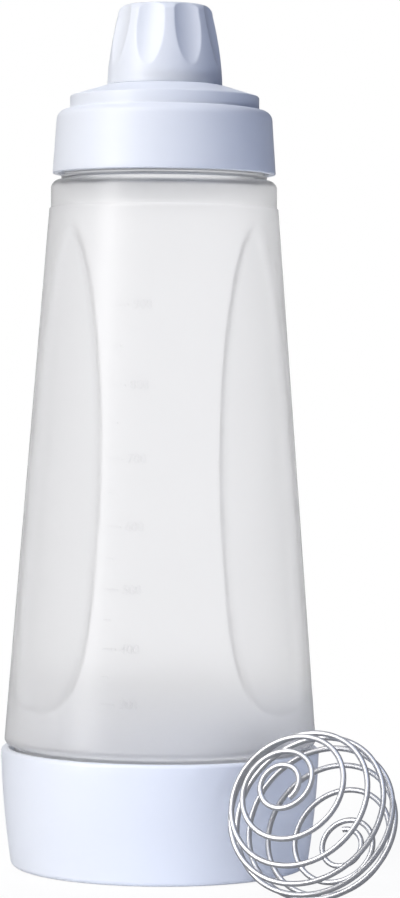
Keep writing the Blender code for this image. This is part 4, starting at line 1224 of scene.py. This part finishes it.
# %% Dress the inner pieces
for node, material in (
        ("base_seal", seal_silicone), ("lid_gasket", seal_silicone), ("cap_liner", seal_silicone),
        ("spout_valve", nozzle_silicone), ("valve_retainer", ring_plastic)):
    node_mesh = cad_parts[node].data
    node_mesh.materials.clear()
    node_mesh.materials.append(material)
    print(node, "wears", material.name)

# %% [markdown]
# Floor and light.
# The photograph has no room: the bottle stands in white. A plain floor takes the light, and
# shows white to the camera and through the bottle, with a faint shadow round the foot. In
# mirrors it is dim, as a table in a dark studio is. From here on, sizes are in metres.

# %% Make the floor
FLOOR_SIZE = 0.9
FLOOR_SHADOW = 0.08
FLOOR_GLOSS = 0.2
SHADOW_NEAR = 0.08
SHADOW_FAR = 0.30
FLOOR_DROP = 0.0002
WHITE = (1.0, 1.0, 1.0, 1.0)


def seen_directly(tree):
    """1 for what the camera sees, also in a mirror or through glass, and 0 for lighting."""
    path = add(tree, "ShaderNodeLightPath").outputs
    seen = add(tree, MATH, path["Is Camera Ray"], path["Is Glossy Ray"], operation="MAXIMUM")
    return add(tree, MATH, seen, path["Is Transmission Ray"], operation="MAXIMUM")


def mirrored(tree):
    """1 for a mirror ray only: a rough glass ray counts as glossy too, so it is taken off."""
    path = add(tree, "ShaderNodeLightPath").outputs
    return add(tree, MATH, path["Is Glossy Ray"], path["Is Transmission Ray"],
               operation="SUBTRACT", use_clamp=True)


floor_paint = bpy.data.materials.new("pale_studio_floor")
floor_paint.use_nodes = True
tree = floor_paint.node_tree
tree.nodes.clear()
matte = add(tree, "ShaderNodeBsdfDiffuse", linear("F2F3F5"))
mirror_glow = add(tree, MATH, mirrored(tree), FLOOR_GLOSS - 1.0, 1.0, operation="MULTIPLY_ADD")
glow = add(tree, "ShaderNodeEmission", WHITE, mirror_glow)
place = add(tree, "ShaderNodeTexCoord").outputs["Object"]
away = add(tree, VECTOR_MATH, place, operation="LENGTH").outputs["Value"]
shadow = add(tree, "ShaderNodeMapRange", away, interpolation_type="SMOOTHSTEP", inputs={
    "From Min": SHADOW_NEAR, "From Max": SHADOW_FAR, "To Min": 1.0 - FLOOR_SHADOW, "To Max": 1.0})
share = add(tree, MATH, seen_directly(tree), shadow, operation="MULTIPLY")
both = add(tree, "ShaderNodeMixShader", share, matte, glow)
add(tree, "ShaderNodeOutputMaterial", both)
floor_mesh = bpy.data.meshes.new("floor")
half = FLOOR_SIZE / 2
corners = [(-half, -half, 0), (half, -half, 0), (half, half, 0), (-half, half, 0)]
floor_mesh.from_pydata(corners, [], [(0, 1, 2, 3)])
floor_mesh.materials.append(floor_paint)
floor = bpy.data.objects.new("floor", floor_mesh)
floor.location.z = -FLOOR_DROP
bpy.context.scene.collection.objects.link(floor)
print("floor is", FLOOR_SIZE, "m wide")

# %% [markdown]
# The light.
# The world is white to the camera and through the bottle, dim in mirrors apart from a white
# backdrop behind the bottle, and a dark blue fill for all else. The key is a broad soft lamp
# high to the front left, which leaves the right side in cool shade. The strip beside it
# gives only the gloss line down the bottle, and the low fill lifts the cup's foot. A weak
# bluish lamp overhead and a lamp behind keep the top and the back from going dark. No lamp
# is seen through the frosted wall, where it would burn out.

# %% Light the scene
WORLD_FILL = "1B2541"
ROOM_SHADE = 0.25
BACKDROP_EDGE = 0.97
BACKDROP_MIDDLE = 0.999

world = bpy.data.worlds.new("studio")
bpy.context.scene.world = world
world.use_nodes = True
tree = world.node_tree
tree.nodes.clear()
fill = add(tree, "ShaderNodeBackground", linear(WORLD_FILL), 1.0)
direction = add(tree, "ShaderNodeTexCoord").outputs["Generated"]
toward = add(tree, "ShaderNodeSeparateXYZ", direction).outputs["Y"]
backdrop = add(tree, "ShaderNodeMapRange", toward, interpolation_type="SMOOTHSTEP", inputs={
    "From Min": BACKDROP_EDGE, "From Max": BACKDROP_MIDDLE, "To Min": ROOM_SHADE, "To Max": 1.0})
bright = add(tree, "ShaderNodeMix", mirrored(tree), None, 1.0, backdrop)
white = add(tree, "ShaderNodeBackground", WHITE, bright)
both = add(tree, "ShaderNodeMixShader", seen_directly(tree), fill, white)
add(tree, "ShaderNodeOutputWorld", both)


def soft_lamp(name, place, aim, size, watts, colour, unseen):
    """A rectangular soft lamp in metres, aimed at a point; some kinds of ray don't see it."""
    data = bpy.data.lights.new(name, "AREA")
    data.shape = "RECTANGLE"
    data.size, data.size_y = size
    data.energy = watts
    data.color = linear(colour)[:3]
    lamp = bpy.data.objects.new(name, data)
    lamp.location = place
    lamp.rotation_euler = (Vector(aim) - Vector(place)).to_track_quat("-Z", "Y").to_euler()
    for kind in unseen:
        setattr(lamp, "visible_" + kind, False)
    bpy.context.scene.collection.objects.link(lamp)


MIDDLE = (0.0, 0.0, 0.13)
soft_lamp("key", place=(-0.77, -0.67, 0.95), aim=MIDDLE, size=(0.8, 1.1), watts=16.6,
          colour="FFFCF6", unseen=["transmission"])
soft_lamp("strip", place=(-0.99, -0.68, 0.28), aim=MIDDLE, size=(0.34, 1.0), watts=9.4,
          colour="FFFFFF", unseen=["diffuse", "transmission"])
soft_lamp("low_fill", place=(0.14, -0.30, 0.06), aim=(0.0, 0.0, 0.015), size=(0.30, 0.06),
          watts=0.34, colour="DFE8FF", unseen=["glossy", "transmission"])
soft_lamp("overhead", place=(0.15, -0.25, 1.2), aim=(0.0, -0.05, 0.0), size=(0.9, 0.9),
          watts=3.6, colour="D2DFFF", unseen=["transmission"])
soft_lamp("back", place=(0.0, 1.25, 0.5), aim=MIDDLE, size=(0.35, 1.0), watts=12.0,
          colour="FBFCFF", unseen=["camera", "glossy", "transmission"])
print("lamps:", [item.name for item in bpy.data.lights])

# %% [markdown]
# Last settings. The Standard view shows a colour as it is written.

# %% Set the view
bpy.context.scene.view_settings.view_transform = "Standard"
